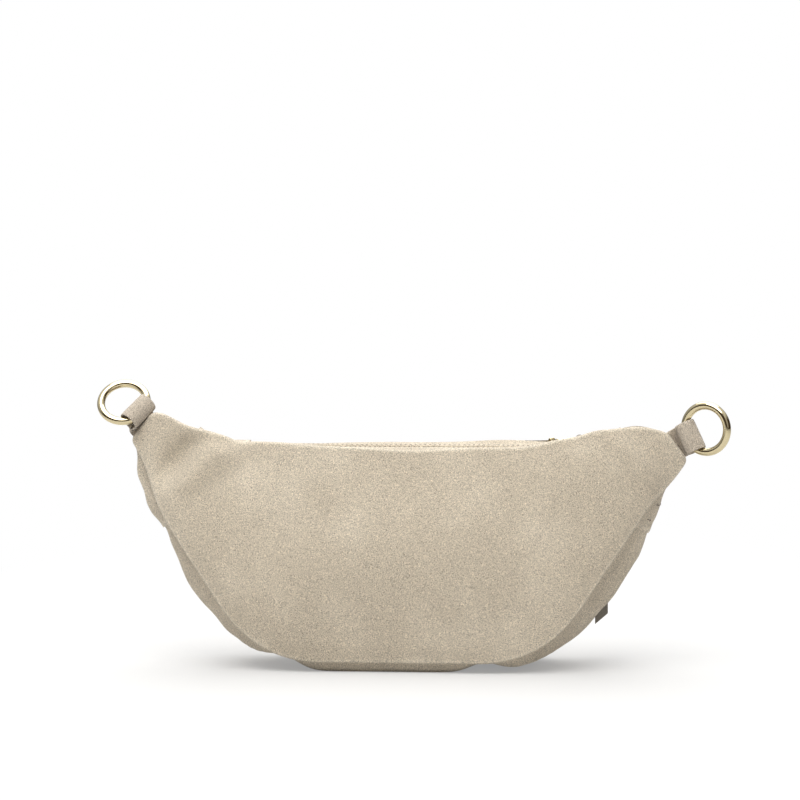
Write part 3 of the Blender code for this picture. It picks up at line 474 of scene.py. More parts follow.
def edge_distance(sheet):
    """Distance in (x, z) from each point of a sheet to its border, and how far round the border that is."""
    edge = np.concatenate((sheet[0], sheet[1:, -1], sheet[-1, -2::-1], sheet[-2::-1, 0]))[:, (0, 2)]
    step = np.diff(edge, axis=0)
    length = np.maximum(np.linalg.norm(step, axis=1), 1e-9)
    run = np.concatenate(((0.0,), np.cumsum(length)))
    distance, where = np.empty(sheet.shape[:2]), np.empty(sheet.shape[:2])
    for number, row in enumerate(sheet[..., (0, 2)]):
        away = row[:, None] - edge[None, :-1]
        share = np.clip(np.sum(away * step, axis=-1) / length**2, 0.0, 1.0)
        apart = np.linalg.norm(away - share[..., None] * step, axis=-1)
        nearest = np.argmin(apart, axis=1)
        pick = np.arange(len(row)), nearest
        distance[number], where[number] = apart[pick], run[nearest] + share[pick] * length[nearest]
    return distance, where


def turned_edge(distance, radius):
    """How far a turned edge falls away: radius - sqrt(radius^2 - (radius - distance)^2) next to it."""
    short = np.clip(radius - distance, 0.0, radius)
    return radius - np.sqrt(radius**2 - short**2)


def puckers(distance, where, depth, pitch, seed):
    """Ripples that a seam draws up: sines of two pitches along it, dying away with distance from it."""
    ripple = 0.6 * np.sin(2.0 * math.pi * where / pitch + seed) + 0.4 * np.sin(
        2.0 * math.pi * where / (1.7 * pitch) + 2.3 * seed
    )
    share = 0.5 + 0.5 * np.sin(2.0 * math.pi * where / (7.3 * pitch) + seed)
    return depth * share * ripple * (np.exp(-distance / 0.009) - np.exp(-distance / 0.0015))


def fold_middle(bore, leather, tongue):
    """(along, sideways) of the middle of a strip folded round a bore: an arc from -118 to 118 degrees, and on
    each side a Hermite curve from the arc to the flat tongue, which runs straight back."""
    middle, outside = bore + 0.5 * leather, bore + leather
    turn = np.radians(np.linspace(-118.0, 118.0, 41))
    arc = middle * np.stack((np.cos(turn), np.sin(turn)), axis=1)
    neck = np.array((-1.35 * outside, 0.5 * leather + 0.00003))
    last, heading = arc[-1], np.array((-math.sin(turn[-1]), math.cos(turn[-1])))
    t = np.linspace(0.0, 1.0, 11)[1:, None]
    reach = np.linalg.norm(neck - last)
    curve = hermite(t, last, neck, heading * reach, np.array((-1.0, 0.0)) * reach)
    flat = lerp(neck, np.array((-tongue, neck[1])), np.linspace(0.0, 1.0, 36)[1:, None])
    side = np.concatenate((curve, flat))
    return np.concatenate((side[::-1] * (1.0, -1.0), arc, side))


def folded(name, middle, leather, half_width, place, material, sides=28):
    """A folded strip: a superellipse section swept along the middle line, put in place by place(a, b, w)."""
    tangent = unit(np.gradient(middle, axis=0))
    normal = np.stack((-tangent[:, 1], tangent[:, 0]), axis=1)
    angle = 2.0 * math.pi * (np.arange(sides) + 0.5) / sides
    w, h = powered(np.cos(angle), 0.22), powered(np.sin(angle), 0.50)
    a = middle[:, :1] + 0.5 * leather * h * normal[:, :1]
    b = middle[:, 1:] + 0.5 * leather * h * normal[:, 1:]
    across = half_width * w * np.ones_like(a)
    # Paler at the strip's edges: partly rubbed, partly a painted highlight; only the suede finish reads it.
    rub_and_highlight = np.abs(w) ** 12 * np.ones_like(a)
    return build(name, place(a, b, across), tube_faces(len(middle), sides, False), material, rim=rub_and_highlight)


def wire(path, radius, sides):
    """A round wire along a closed flat path: its section spans the plane's normal and tangent x normal."""
    tangent = unit(np.roll(path, -1, axis=0) - np.roll(path, 1, axis=0))
    count = len(path)
    normal = unit(np.cross(path[count // 3] - path[0], path[2 * count // 3] - path[0]))
    points = path[:, None] + radius * around(sides, np.cross(tangent, normal)[:, None], normal)
    points, faces = points.reshape(-1, 3), tube_faces(count, sides, True)
    return points, [face[::-1] for face in faces] if signed_volume(points, faces) < 0.0 else faces


def copies(faces, count, size):
    """The faces of one small mesh of size points, for count copies in a row."""
    return [[v + n * size for v in face] for n in range(count) for face in faces]


def together(*parts):
    """Several closed meshes as one: their points in a row, and their faces with the numbers moved on."""
    starts = np.cumsum([0] + [len(points) for points, faces in parts[:-1]])
    faces = [[v + int(start) for v in face] for start, (points, one) in zip(starts, parts) for face in one]
    return np.concatenate([points for points, faces in parts]), faces


def threads(name, centres, headings, normals, length, radius):
    """Stitches as small capsules, each with its own centre, heading and normal, all in one mesh."""
    t = np.linspace(-1.0, 1.0, 5)
    swell = np.sqrt(np.clip(1.0 - 0.96 * t**6, 0.0, 1.0))
    sink = -0.7 * t**2
    circle = around(THREAD_SIDES, unit(np.cross(headings, normals))[:, None], normals[:, None])
    rings = []
    for k in range(len(t)):
        middle = centres + 0.5 * length * t[k] * headings + radius * sink[k] * normals
        rings.append(middle[:, None] + radius * swell[k] * circle)
    faces = copies(tube_faces(len(t), THREAD_SIDES, False), len(centres), len(t) * THREAD_SIDES)
    return build(name, np.stack(rings, axis=1).reshape(-1, 3), faces, finishes()["thread"])


# Materials


class Socket:
    """A shader value that Python's own operators work on: each one adds the Math node that does it."""

    def __init__(self, tree, socket):
        self.tree, self.socket = tree, socket

    def math(self, operation, *values):
        return self.tree.node("ShaderNodeMath", {"operation": operation}, dict(enumerate(values)))

    def __add__(self, other):
        return self.math("ADD", self, other)

    def __sub__(self, other):
        return self.math("SUBTRACT", self, other)

    def __rsub__(self, other):
        return self.math("SUBTRACT", other, self)

    def __mul__(self, other):
        return self.math("MULTIPLY", self, other)

    def between(self, low, high):
        """0 on low's side and 1 on high's, with a straight run between."""
        return self.tree.node("ShaderNodeMapRange", {"clamp": True}, {0: self, 1: low, 2: high})

    __radd__ = __add__
    __rmul__ = __mul__


class Tree:
    """A node tree with one method that adds any node."""

    def __init__(self, owner):
        owner.use_nodes = True
        self.nodes, self.links = owner.node_tree.nodes, owner.node_tree.links

    def node(self, kind, settings, values, output=0):
        made = self.nodes.new(kind)
        for key, value in settings.items():
            setattr(made, key, value)
        for key, value in values.items():
            self.feed(made.inputs[key], value)
        return Socket(self, made.outputs[output])

    def feed(self, target, value):
        if isinstance(value, Socket):
            self.links.new(value.socket, target)
        else:
            target.default_value = value

    def axes(self, vector):
        """The x, y and z of a vector."""
        return [self.node("ShaderNodeSeparateXYZ", {}, {0: vector}, axis) for axis in "XYZ"]

    def mix_shader(self, share, a, b):
        """Shader a where share is 0 and b where it is 1."""
        return self.node("ShaderNodeMixShader", {}, {0: share, 1: a, 2: b})

    def camera_ray(self):
        return self.node("ShaderNodeLightPath", {}, {}, "Is Camera Ray")


class Finish(Tree):
    """A material under way: a Principled shader on Object coordinates."""

    def __init__(self, name, colour, roughness, metallic=0.0, sheen=0.0):
        self.material = bpy.data.materials.new(name)
        super().__init__(self.material)
        self.shader = self.nodes["Principled BSDF"]
        values = {"Base Color": opaque(colour), "Roughness": roughness, "Metallic": metallic}
        for key, value in {**values, "Sheen Weight": sheen, "Sheen Roughness": 0.45}.items():
            self.feed(self.shader.inputs[key], value)
        self.place = self.node("ShaderNodeTexCoord", {}, {}, "Object")

    def noise(self, scale, detail=3.0, roughness=0.55, stretch=(1.0, 1.0, 1.0), turn=(0.0, 0.0, 0.0)):
        """Noise about 0, of that many features in a metre, drawn out or turned by a Mapping node."""
        values = {"Vector": self.place, "Scale": stretch, "Rotation": turn}
        mapped = self.node("ShaderNodeMapping", {}, values)
        values = {"Vector": mapped, "Scale": scale, "Detail": detail, "Roughness": roughness}
        return self.node("ShaderNodeTexNoise", {}, values) - 0.5

    def mix(self, share, a, b):
        """Colour a where share is 0 and b where it is 1."""
        return self.node("ShaderNodeMix", {"data_type": "RGBA"}, {0: share, 6: a, 7: b}, 2)

    def shade(self, colour, amount):
        """The colour, brightened by amount, a value about 0."""
        level = amount + 1.0
        grey = self.node("ShaderNodeCombineColor", {}, {0: level, 1: level, 2: level})
        settings = {"data_type": "RGBA", "blend_type": "MULTIPLY"}
        return self.node("ShaderNodeMix", settings, {0: 1.0, 6: colour, 7: grey}, 2)

    def finish(self, colour=None, roughness=None, height=None, depth=0.0001, strength=1.0):
        if colour is not None:
            self.feed(self.shader.inputs["Base Color"], colour)
        if roughness is not None:
            self.feed(self.shader.inputs["Roughness"], roughness)
        if height is not None:
            values = {"Height": height, "Distance": depth, "Strength": strength}
            self.feed(self.shader.inputs["Normal"], self.node("ShaderNodeBump", {}, values))
        return self.material


def opaque(colour):
    return (*colour, 1.0)


def suede_finish(name, colour, rub_and_highlight, blotch=0.10):
    """Napped suede: blotches where the nap lies another way, streaks, fine grain, and pale edges that are
    partly rubbed nap and partly a painted highlight along the turned edges.
    """
    at = Finish(name, colour, 0.95, sheen=0.22)
    broad = at.noise(20.0, 3.0, 0.5) * 2.4
    brushed = at.noise(52.0, 4.0, 0.6, (1.0, 1.0, 0.45), (0.0, 0.6, 0.0))
    speck = at.noise(1450.0, 2.0, 0.8)
    grain = at.noise(2300.0, 1.0, 0.8)
    nap = broad.between(-0.10, 0.45)
    tone = broad * blotch + brushed * (1.2 * blotch) + speck * 2.3 + grain * 1.8
    # Pale edges from the edge mask: partly rubbed nap, partly a painted highlight on the turned edges.
    edge = at.node("ShaderNodeAttribute", {"attribute_name": "rub_and_highlight"}, {}, "Fac")
    warm = at.mix(nap * 0.30, opaque(colour), opaque(rub_and_highlight))
    rubbed = at.mix(edge * 0.55, warm, opaque(rub_and_highlight))
    return at.finish(at.shade(rubbed, tone), broad * -0.10 + 0.95, speck + grain + brushed, 0.0006, 1.0)


def leather_finish(name, colour):
    """Smooth dyed leather with small cells between creases, painted shade that darkens the creases, and a
    little less gloss in the creases.
    """
    at = Finish(name, colour, 0.55)
    values = {"Vector": at.place, "Scale": 900.0}
    cells = at.node("ShaderNodeTexVoronoi", {"feature": "DISTANCE_TO_EDGE"}, values).between(0.0, 0.25)
    patches = at.noise(160.0)
    # Random patches, and painted shade darker in the creases between the cells.
    tone = patches * 0.25 + (cells - 1.0) * 0.12
    return at.finish(at.shade(opaque(colour), tone), 0.62 - cells * 0.12, cells + patches, 0.00010, 0.7)


def woven_finish(name, colour, pitch):
    """Plain weave: warp and weft sines out of step, each thread painted a little lighter at its crown and
    darker between threads, as painted highlight and shade.
    """
    at = Finish(name, colour, 0.85, sheen=0.1)
    x, y, z = at.axes(at.place)
    turns = 2.0 * math.pi / pitch
    warp, weft = (along.math("SINE", along * turns) for along in (x, z + y))
    cloth = warp * weft * 0.5 + 0.5
    # Painted highlight on the thread crowns and painted shade between them, with random tone.
    tone = (cloth - 0.5) * 0.30 + at.noise(240.0) * 0.25
    return at.finish(at.shade(opaque(colour), tone), None, cloth, 0.00012)


def gold_finish(name, colour):
    """Polished pale gold plate with faint, fine wear that dulls it in patches."""
    at = Finish(name, colour, 0.12, metallic=1.0)
    wear = at.noise(420.0, 4.0, 0.6).between(0.05, 0.30)
    tone = at.noise(90.0) * 0.06
    return at.finish(at.shade(opaque(colour), tone), wear * 0.08 + 0.07, wear, 0.00001, 0.3)


def moulded_finish(name, colour):
    """Moulded nylon: an even satin with a slight flow of colour."""
    at = Finish(name, colour, 0.38)
    return at.finish(at.shade(opaque(colour), at.noise(300.0) * 0.18), at.noise(700.0) * 0.2 + 0.40)


def thread_finish(name, colour):
    """Twisted thread: slanting plies across each stitch."""
    at = Finish(name, colour, 0.75, sheen=0.2)
    plies = at.noise(2600.0, 1.0, 0.5, (1.0, 1.0, 0.3))
    return at.finish(at.shade(opaque(colour), plies * 0.5), None, plies, 0.0001)


FINISHES = {}


def finishes():
    """The materials, made once from the colours in the scene's settings."""
    if not FINISHES:
        looks = bpy.context.scene.belt_bag
        # Each suede's second colour also paints the highlight along the edges.
        FINISHES["suede"] = suede_finish("suede", tuple(looks.suede), tuple(looks.suede_rubbed_and_highlit))
        FINISHES["tab"] = suede_finish("tab_suede", tuple(looks.tab), tuple(looks.tab_rubbed_and_highlit), 0.06)
        FINISHES["leather"] = leather_finish("pull_leather", tuple(looks.leather))
        FINISHES["lining"] = woven_finish("lining_fabric", tuple(looks.lining), 0.0011)
        FINISHES["tape"] = woven_finish("zip_tape", tuple(looks.tape), 0.0008)
        FINISHES["teeth"] = moulded_finish("zip_teeth", tuple(looks.teeth))
        FINISHES["gold"] = gold_finish("pale_gold", tuple(looks.gold))
        FINISHES["thread"] = thread_finish("thread", tuple(looks.thread))
    return FINISHES


# Panels


def border_rows():
    """Shares across and up a panel, closer together by its edges, where the suede turns under."""
    return spaced(190, 0.006), spaced(100, 0.010)


def whole_edges(front, u, v):
    """The four edges of a full panel on the back seam or the front one: bottom, top, left, right."""
    right, left = lifted(1), lifted(-1)
    top = np.concatenate((left[: UPPER_MARK + 1][::-1], right[1 : UPPER_MARK + 1]))
    bottom = np.concatenate((left[LOWER_MARK:], right[LOWER_MARK:-1][::-1]))
    sides = [along(half[UPPER_MARK : LOWER_MARK + 1][::-1], v) for half in (left, right)]
    return [on_seam(edge, front) for edge in (along(bottom, u), along(top, u), *sides)]


def pocket_edge(u, upper):
    """A front panel's edge along the pocket zip: straight beside it, and closing to a seam past its end."""
    flank = HALF[LOWER_MARK:][::-1]
    end = np.interp(POCKET_Z, flank[:, 1], flank[:, 0])
    window = POCKET_TAPE_END_X + GAP
    shares = np.array((0.15, 0.3, 0.5, 0.75, 1.0))
    q = np.concatenate(((0.0, 0.6875), np.linspace(0.75, 1.0, 5)))
    half = np.concatenate(((0.0, window), window + (end - window) * shares))
    x = np.sign(2.0 * u - 1.0) * np.interp(np.abs(2.0 * u - 1.0), q, half)
    beyond = np.abs(x) - window
    opening = lerp(OPENING_HALF, GAP / 2.0, smooth(beyond / (0.5 * (end - window))))
    z = POCKET_Z + (opening if upper else -opening)
    return np.stack((x, lerp(POCKET_Y, seam_depths(x, z)[1], smooth(beyond / (end - window))), z), axis=1)


def back_relief(x, z):
    """The folds that wear has left in the back, its belly, and slow waves."""
    folds = bpy.context.scene.belt_bag.fold_depth * bumps(x, z, BACK_FOLDS)
    slow = 0.0012 * waves(x, z, 4, 0.070, 0.170) + 0.0005 * waves(x, z, 9, 0.022, 0.050, 12)
    return folds + bumps(x, z, (BELLY,)) + slow


def front_relief(x, z):
    """The front sags a little into the pocket and over its floor, with slow waves."""
    folds = bpy.context.scene.belt_bag.fold_depth * bumps(x, z, FRONT_FOLDS)
    return folds + 0.0011 * waves(x, z, 21, 0.060, 0.150) + 0.0004 * waves(x, z, 33, 0.020, 0.045, 12)


def panel_cover(name, node, sheet, outward, relief, seed):
    """A panel's suede: the sheet with its relief, drawn up a little by the seams, with turned edges."""
    looks = bpy.context.scene.belt_bag
    rim = back_rim(sheet[..., 0]) if outward < 0.0 else front_rim(sheet[..., 0])
    sheet = leant(sheet + (rim * smooth((sheet[..., 2] - RIM_LOW_Z) / RIM_RUN))[..., None] * Z)
    distance, where = edge_distance(sheet)
    lift = relief * smooth(distance / DRAWN_IN)
    inner = sheet + outward * (lift - SUEDE)[..., None] * Y
    lift = lift + puckers(distance, where, looks.pucker_depth, PUCKER_PITCH, seed)
    lift = lift - turned_edge(distance, looks.edge_radius)
    outer = sheet + outward * lift[..., None] * Y
    # A thin pale line along the edges: partly rubbed nap, partly a painted highlight on the turned edge.
    rub_and_highlight = hill(distance, RUB_AND_HIGHLIGHT_FROM_EDGE, RUB_AND_HIGHLIGHT_WIDTH)
    return settle(doubled(name, (outer, inner), "suede", SUEDE_SHARP, rub_and_highlight), "bag", "suede", node)


def front_sheets():
    """The faces of the lower and the upper front panel."""
    u, v = spaced(190, 0.010), border_rows()[1]
    flank = HALF[LOWER_MARK:]
    low_edge = pocket_edge(u, False)
    below = np.concatenate((low_edge[-1:, (0, 2)], flank[flank[:, 1] < low_edge[0, 2] - GAP]))
    turn = int(np.argmin(np.abs(below[:, 1] - 3.0 * BASE_Z)))
    base = below[turn:]
    side = along(below[: turn + 1][::-1], v)
    left, right = on_seam(side * (-1.0, 1.0), True), on_seam(side, True)
    left[-1], right[-1] = low_edge[0], low_edge[-1]
    bottom = on_seam(along(np.concatenate((base * (-1.0, 1.0), base[:-1][::-1])), u), True)
    lower = seam_sheet(bottom, low_edge, left, right, u, v, 0.004, 1.0, 1.0)

    high_edge = pocket_edge(u, True)
    sides = []
    for half, end in ((lifted(-1), high_edge[0]), (lifted(1), high_edge[-1])):
        above = half[UPPER_MARK:]
        above = above[above[:, 1] > end[2] + GAP]
        side = on_seam(along(np.concatenate((above, end[None, (0, 2)]))[::-1], v), True)
        side[0] = end
        sides.append(side)
    top = whole_edges(True, u, v)[1]
    return lower, seam_sheet(high_edge, top, *sides, u, v, 0.002, 1.75, 1.0)


def build_panels():
    u, v = border_rows()
    back = seam_sheet(*whole_edges(False, u, v), u, v, 0.004, 1.0, -1.0)
    panel_cover("back_cover", "back_panel", back, -1.0, back_relief(back[..., 0], back[..., 2]), 1.0)
    for word, sheet, seed in zip(("lower", "upper"), front_sheets(), (2.0, 3.0)):
        relief = front_relief(sheet[..., 0], sheet[..., 2]) * smooth(np.abs(sheet[..., 2] - POCKET_Z) / 0.016)
        panel_cover(f"front_cover_{word}", f"front_panel_{word}", sheet, 1.0, relief, seed)


# Gussets


def outward_at(at):
    """The direction that points out of the bag at each station of a path."""
    tangent = unit(np.gradient(at, axis=0))
    outward = np.stack((tangent[:, 1], -tangent[:, 0]), axis=1)
    return outward if np.sum((at - np.array((0.0, 0.09))) * outward) > 0.0 else -outward


def gusset_shape(at, offset, bulge, across, ripple):
    """Outer and inner face of a strip between the panels, set outside the seam and bulging in its middle."""
    outward = outward_at(at)
    back, front = seam_depths(at[:, 0], at[:, 1])
    back, front = back + SUEDE + 1.2 * GAP, front - SUEDE - 1.2 * GAP
    flank = smooth((at[:, 1:] - BASE_Z - 0.001) / 0.020)
    rise = smooth((np.minimum(across, 1.0 - across)[None] - 0.06 * flank) / lerp(0.07, 0.20, flank))
    run = np.concatenate(((0.0,), np.cumsum(np.linalg.norm(np.diff(at, axis=0), axis=1))))
    run, far = np.meshgrid(run, across, indexing="ij")
    uneven = ripple * waves(run, 0.04 * far, 17, 0.012, 0.040, 10)
    uneven = uneven * smooth((at[:, 1:] - 0.012) / 0.02) * rise
    room = np.minimum(far, 1.0 - far) * (front - back)[:, None]
    crease = CREASE * np.exp(-room / CREASE_WIDTH) * smooth((at[:, 1:] - 0.004) / 0.012)
    out = offset[:, None] + (bulge[:, None] + fullness(at[:, :1], at[:, 1:])) * rise + uneven - crease
    rim = turned_edge(room, GUSSET_EDGE)
    y = lerp(back[:, None], front[:, None], across[None])
    faces = []
    for inward in (rim, np.full_like(rim, SUEDE)):
        xz = at[:, None] + (out - inward)[..., None] * outward[:, None]
        high = smooth((xz[..., 1] - 0.120) / 0.030) * (xz[..., 1] > 0.120)
        sunk = high * lerp(corner_sag(xz[..., 0]), front_rim(xz[..., 0]), across[None])
        sunk = np.where(np.abs(xz[..., 0]) > 0.138, sunk, high * corner_sag(xz[..., 0]))
        faces.append(leant(np.stack((xz[..., 0], y, xz[..., 1] + sunk), axis=-1)))
    return faces


def lower_gusset_shape():
    """Round the bottom from flank to flank, flat under the base and sunk beside it."""
    right, left = lifted(1), lifted(-1)
    lower = [half[LOWER_MARK:] for half in (left, right)]
    lower = [half[half[:, 1] < GUSSET_TOP_Z] for half in lower]
    at = along(np.concatenate((lower[0], lower[1][:-1][::-1])), np.linspace(0.0, 1.0, 300))
    z = at[:, 1]
    bulge = lerp(BASE_Z, 0.010, smooth((z - BASE_Z) / 0.030))
    bulge = bulge * (1.0 - smooth((z - 0.048) / (OVERLAP_Z - 0.048)))
    recess = hills(at[:, 0], BASE_RECESSES) * (1.0 - smooth((z - 0.014) / 0.016))
    bulge = (bulge + SEAM_INSET * smooth((OVERLAP_Z - z) / 0.010)) * (1.0 - recess)
    return gusset_shape(at, np.full(len(at), -SEAM_INSET), bulge, spaced(26, 0.04), 0.0012)


def gusset_end_shape(side):
    """From over the zip strip's end up to the corner and down the flank, over the lower gusset's end."""
    half = lifted(side)
    first = int(np.argmax(np.abs(half[:, 0]) > COVER_X))
    last = LOWER_MARK + int(np.argmax(half[LOWER_MARK:, 1] < OVERLAP_Z))
    at = along(half[first : last + 1], np.linspace(0.0, 1.0, 150))
    x, z = np.abs(at[:, 0]), at[:, 1]
    on_top = (z > TOP_Z - 0.01) & (x < SHOULDER_X)
    lap = SUEDE + GAP
    below = (1.0 - smooth((z - GUSSET_TOP_Z - 2.0 * SUEDE) / 0.010)) * (x > 0.100)
    below = np.where(on_top, 0.0, below)
    climb = smooth((x - COVER_X - 0.014) / 0.024)
    offset = np.where(on_top, lerp(STRIP_Z + lap - z, -SEAM_INSET, climb), -SEAM_INSET)
    offset = offset + lap * below * (1.0 - 0.6 * smooth((0.106 - z) / 0.008))
    return gusset_shape(at, offset, np.full(len(at), 0.6 * SEAM_INSET), spaced(18, 0.06), 0.0006)


def gusset_cover(name, node, faces):
    """A strip's suede, paler along both edges and at both ends: partly rubbed, partly a painted highlight."""
    far = np.linspace(0.0, 1.0, faces[0].shape[1])
    rub_and_highlight = hill(np.minimum(far, 1.0 - far), 0.0, 0.10)[None] + np.zeros(faces[0].shape[:2])
    rub_and_highlight[:3] = rub_and_highlight[-3:] = 1.0
    return settle(doubled(name, faces, "suede", SUEDE_SHARP, rub_and_highlight), "bag", "suede", node)


def zip_strip_shape(side):
    """A strip beside the main zip: level by it, rising to the panel's edge, and turned under at the zip."""
    x = np.linspace(-STRIP_END_X, STRIP_END_X, 240)
    near = MIDDLE_Y + side * OPENING_HALF
    far = FRONT_DEPTHS[0] - SUEDE - GAP if side > 0 else -BACK_DEPTHS[0] + SUEDE + GAP
    share = spaced(10, 0.12)
    y = lerp(near, far, share)
    x, y = np.meshgrid(x, y, indexing="ij")
    rim = turned_edge(np.abs(y - near), STRIP_EDGE) + 0.5 * turned_edge(np.abs(y - far), STRIP_EDGE)
    sag = np.minimum(back_rim(x) - 0.0004, 0.0) if side < 0 else np.maximum(front_rim(x) + 0.0012, 0.0)
    z = STRIP_Z - rim + sag * smooth((y - near) / (far - near) * 1.3 - 0.3)
    z = z + 0.00015 * waves(x, y, 41, 0.015, 0.05)
    return np.stack((x, y, z), axis=-1), np.stack((x, y, z + rim - SUEDE), axis=-1)


def build_gussets():
    gusset_cover("lower_gusset_cover", "lower_gusset", lower_gusset_shape())
    for word, side in (("left", -1), ("right", 1)):
        gusset_cover(f"gusset_end_cover_{word}", f"gusset_end_{word}", gusset_end_shape(side))
    for word, side in (("back", -1), ("front", 1)):
        gusset_cover(f"zip_strip_{word}", f"zip_gusset_{word}", zip_strip_shape(side))


# Rings and their tabs


def tab_root(side):
    """Where a ring tab leaves the bag: the point, the direction out, and the line of its width."""
    half = lifted(side)
    upper, lower = half[UPPER_MARK], half[LOWER_MARK]
    line = -side * unit(np.array((upper[0] - lower[0], 0.0, upper[1] - lower[1])))
    away = unit(np.array((side * abs(line[2]), 0.0, abs(line[0]))))
    middle = 0.5 * (upper + lower)
    return np.array((middle[0], CORNER_Y, middle[1])), away, line


def build_tab(name, node, side, direction, fold_line):
    """The tab: a strip folded round its ring, then a Hermite curve down into the corner of the bag."""
    root, away, line = tab_root(side)
    direction, fold_line = unit(direction), unit(fold_line)
    fold_line = unit(fold_line - np.dot(fold_line, direction) * direction)
    chord = math.sqrt((RING_RADIUS - RING_WIRE) ** 2 - (0.5 * TAB_WIDTH) ** 2)
    reach = 0.5 * (RING_RADIUS + RING_WIRE + chord)
    bore = RING_RADIUS + RING_WIRE - reach + 0.00025
    outside = bore + TAB_LEATHER
    centre = root + (TAB_REACH - outside) * direction
    straight = 1.35 * outside
    near = centre - 0.9 * outside * direction
    seat = root + 0.0008 * away
    into = unit(away + 0.20 * np.dot(direction, line) * line)
    pull_in = np.linalg.norm(near - seat)

    def place(a, b, w):
        t = (-a - 0.9 * outside) / (straight + TAB_TAIL - 0.9 * outside)
        s = np.clip(t / (1.0 - TAB_INSIDE), 0.0, 1.0)[..., None]
        beyond = np.maximum(0.0, t - 1.0 + TAB_INSIDE) / TAB_INSIDE
        spot = hermite(s, near, seat, -direction * pull_in, -into * pull_in)
        spot = spot - into * (beyond * (TAB_TONGUE + 0.0008))[..., None]
        spot = spot + direction * np.maximum(0.0, a + 0.9 * outside)[..., None]
        heading = unit(lerp(direction, into, s))
        across = lerp(fold_line, line, s)
        across = unit(across - np.sum(across * heading, axis=-1, keepdims=True) * heading)
        return spot + b[..., None] * np.cross(across, heading) + w[..., None] * across

    middle = fold_middle(bore, TAB_LEATHER, straight + TAB_TAIL)
    piece = folded(name, middle, TAB_LEATHER, 0.5 * TAB_WIDTH, place, finishes()["tab"], 36)
    return settle(piece, "bag", "tab_suede", node)


def build_ring(name, node, body):
    """A round torus on the solid ring: its centre is the mean of the solid's points, its axis their flattest
    direction."""
    solid = NODES[node]
    points = np.array([solid.matrix_world @ v.co for v in solid.data.vertices])
    centre = points.mean(axis=0)
    across = np.linalg.svd(points - centre, full_matrices=False)[2]
    path = centre + RING_RADIUS * around(128, across[0], across[1])
    piece = build(name, *wire(path, RING_WIRE, 32), finishes()["gold"])
    return settle(piece, body, "pale_gold", node)


def build_rings():
    build_tab("tab_left", "ring_tab_left", -1, (-0.188, -0.655, 0.731), (0.594, 0.516, 0.615))
    build_tab("tab_right", "ring_tab_right", 1, (0.706, -0.5375, 0.4625), (0.413, -0.219, -0.884))
    for word in ("left", "right"):
        build_ring(f"o_ring_{word}", f"ring_{word}", f"{word} ring")


# Zips


def zip_teeth(name, side, slider_x, shift, centre, across, up):
    """The teeth of one tape in one mesh: an extruded dovetail outline, bevelled above and below."""
    first = -slider_x - 0.5 * SLIDER_LENGTH + 0.001
    last = slider_x + 0.5 * SLIDER_LENGTH - DIVIDER_LENGTH - 0.0009
    x = first + (np.arange(int((last - first) / PITCH)) + 0.25 + shift) * PITCH
    outline, middle, half = np.array(TOOTH_OUTLINE), np.array((0.0, TOOTH_MIDDLE)), 0.5 * TOOTH_HEIGHT
    inward = middle + (outline - middle) * (1.0 - TOOTH_BEVEL / 0.0012)
    loops = ((-half, inward), (-half + TOOTH_BEVEL, outline), (half - TOOTH_BEVEL, outline), (half, inward))
    one = np.array([[(s, side * a, h) for s, a in points] for h, points in loops]).reshape(-1, 3)
    points = x[:, None, None] * X + (one[:, :1] * X + one[:, 1:2] * across + one[:, 2:] * up)[None] + centre
    faces = copies(tube_faces(len(loops), len(outline), False), len(x), len(one))
    return build(name, points.reshape(-1, 3), faces, finishes()["teeth"], 40.0)


def zip_tape(name, side, end, centre, across, up):
    """The tape: a woven strip whose edge by the teeth is thickened to a cord."""
    s = np.linspace(-end, end, 200)
    a = np.concatenate((np.linspace(0.0011, 0.0030, 9), np.linspace(0.0034, OPENING_HALF + TAPE_REACH, 10)))
    s, a = np.meshgrid(s, a, indexing="ij")
    thick = 0.5 * TAPE + 0.00045 * np.sqrt(np.clip(1.0 - ((a - 0.0019) / 0.0010) ** 2, 0.0, 1.0))
    flat = s[..., None] * X + (side * a)[..., None] * across
    return doubled(name, [flat + (k * thick)[..., None] * up + centre for k in (1, -1)], "tape", 60.0)


def link_parts(eye, down, wide):
    """The link as two wires: the eye, a circle round the bail, and a round-cornered frame for the pull."""
    circle = eye + EYE_RADIUS * around(40, down, np.cross(wide, down))
    top = EYE_RADIUS + 0.7 * LINK_WIRE
    low, half, bend = top + LINK_LENGTH, 0.5 * LINK_WIDTH, LINK_BEND
    path = []
    for sx, level, start in ((-1, top, 1.5), (-1, low, 1.0), (1, low, 0.5), (1, top, 0.0)):
        middle = np.array((sx * (half - bend), level + (bend if level == top else -bend)))
        angle = math.pi * (start - np.linspace(0.0, 0.5, 9))
        corner = middle + bend * np.stack((np.cos(angle), np.sin(angle)), axis=1)
        if path:
            path.append(lerp(path[-1][-1], corner[0], np.linspace(0.0, 1.0, 12)[1:-1, None]))
        path.append(corner)
    path.append(lerp(path[-1][-1], path[0][0], np.linspace(0.0, 1.0, 12)[1:-1, None]))
    path = np.concatenate(path)
    path = eye + path[:, :1] * wide + path[:, 1:] * down
    return together(wire(circle, LINK_WIRE, 14), wire(path, LINK_WIRE, 14)), eye + low * down


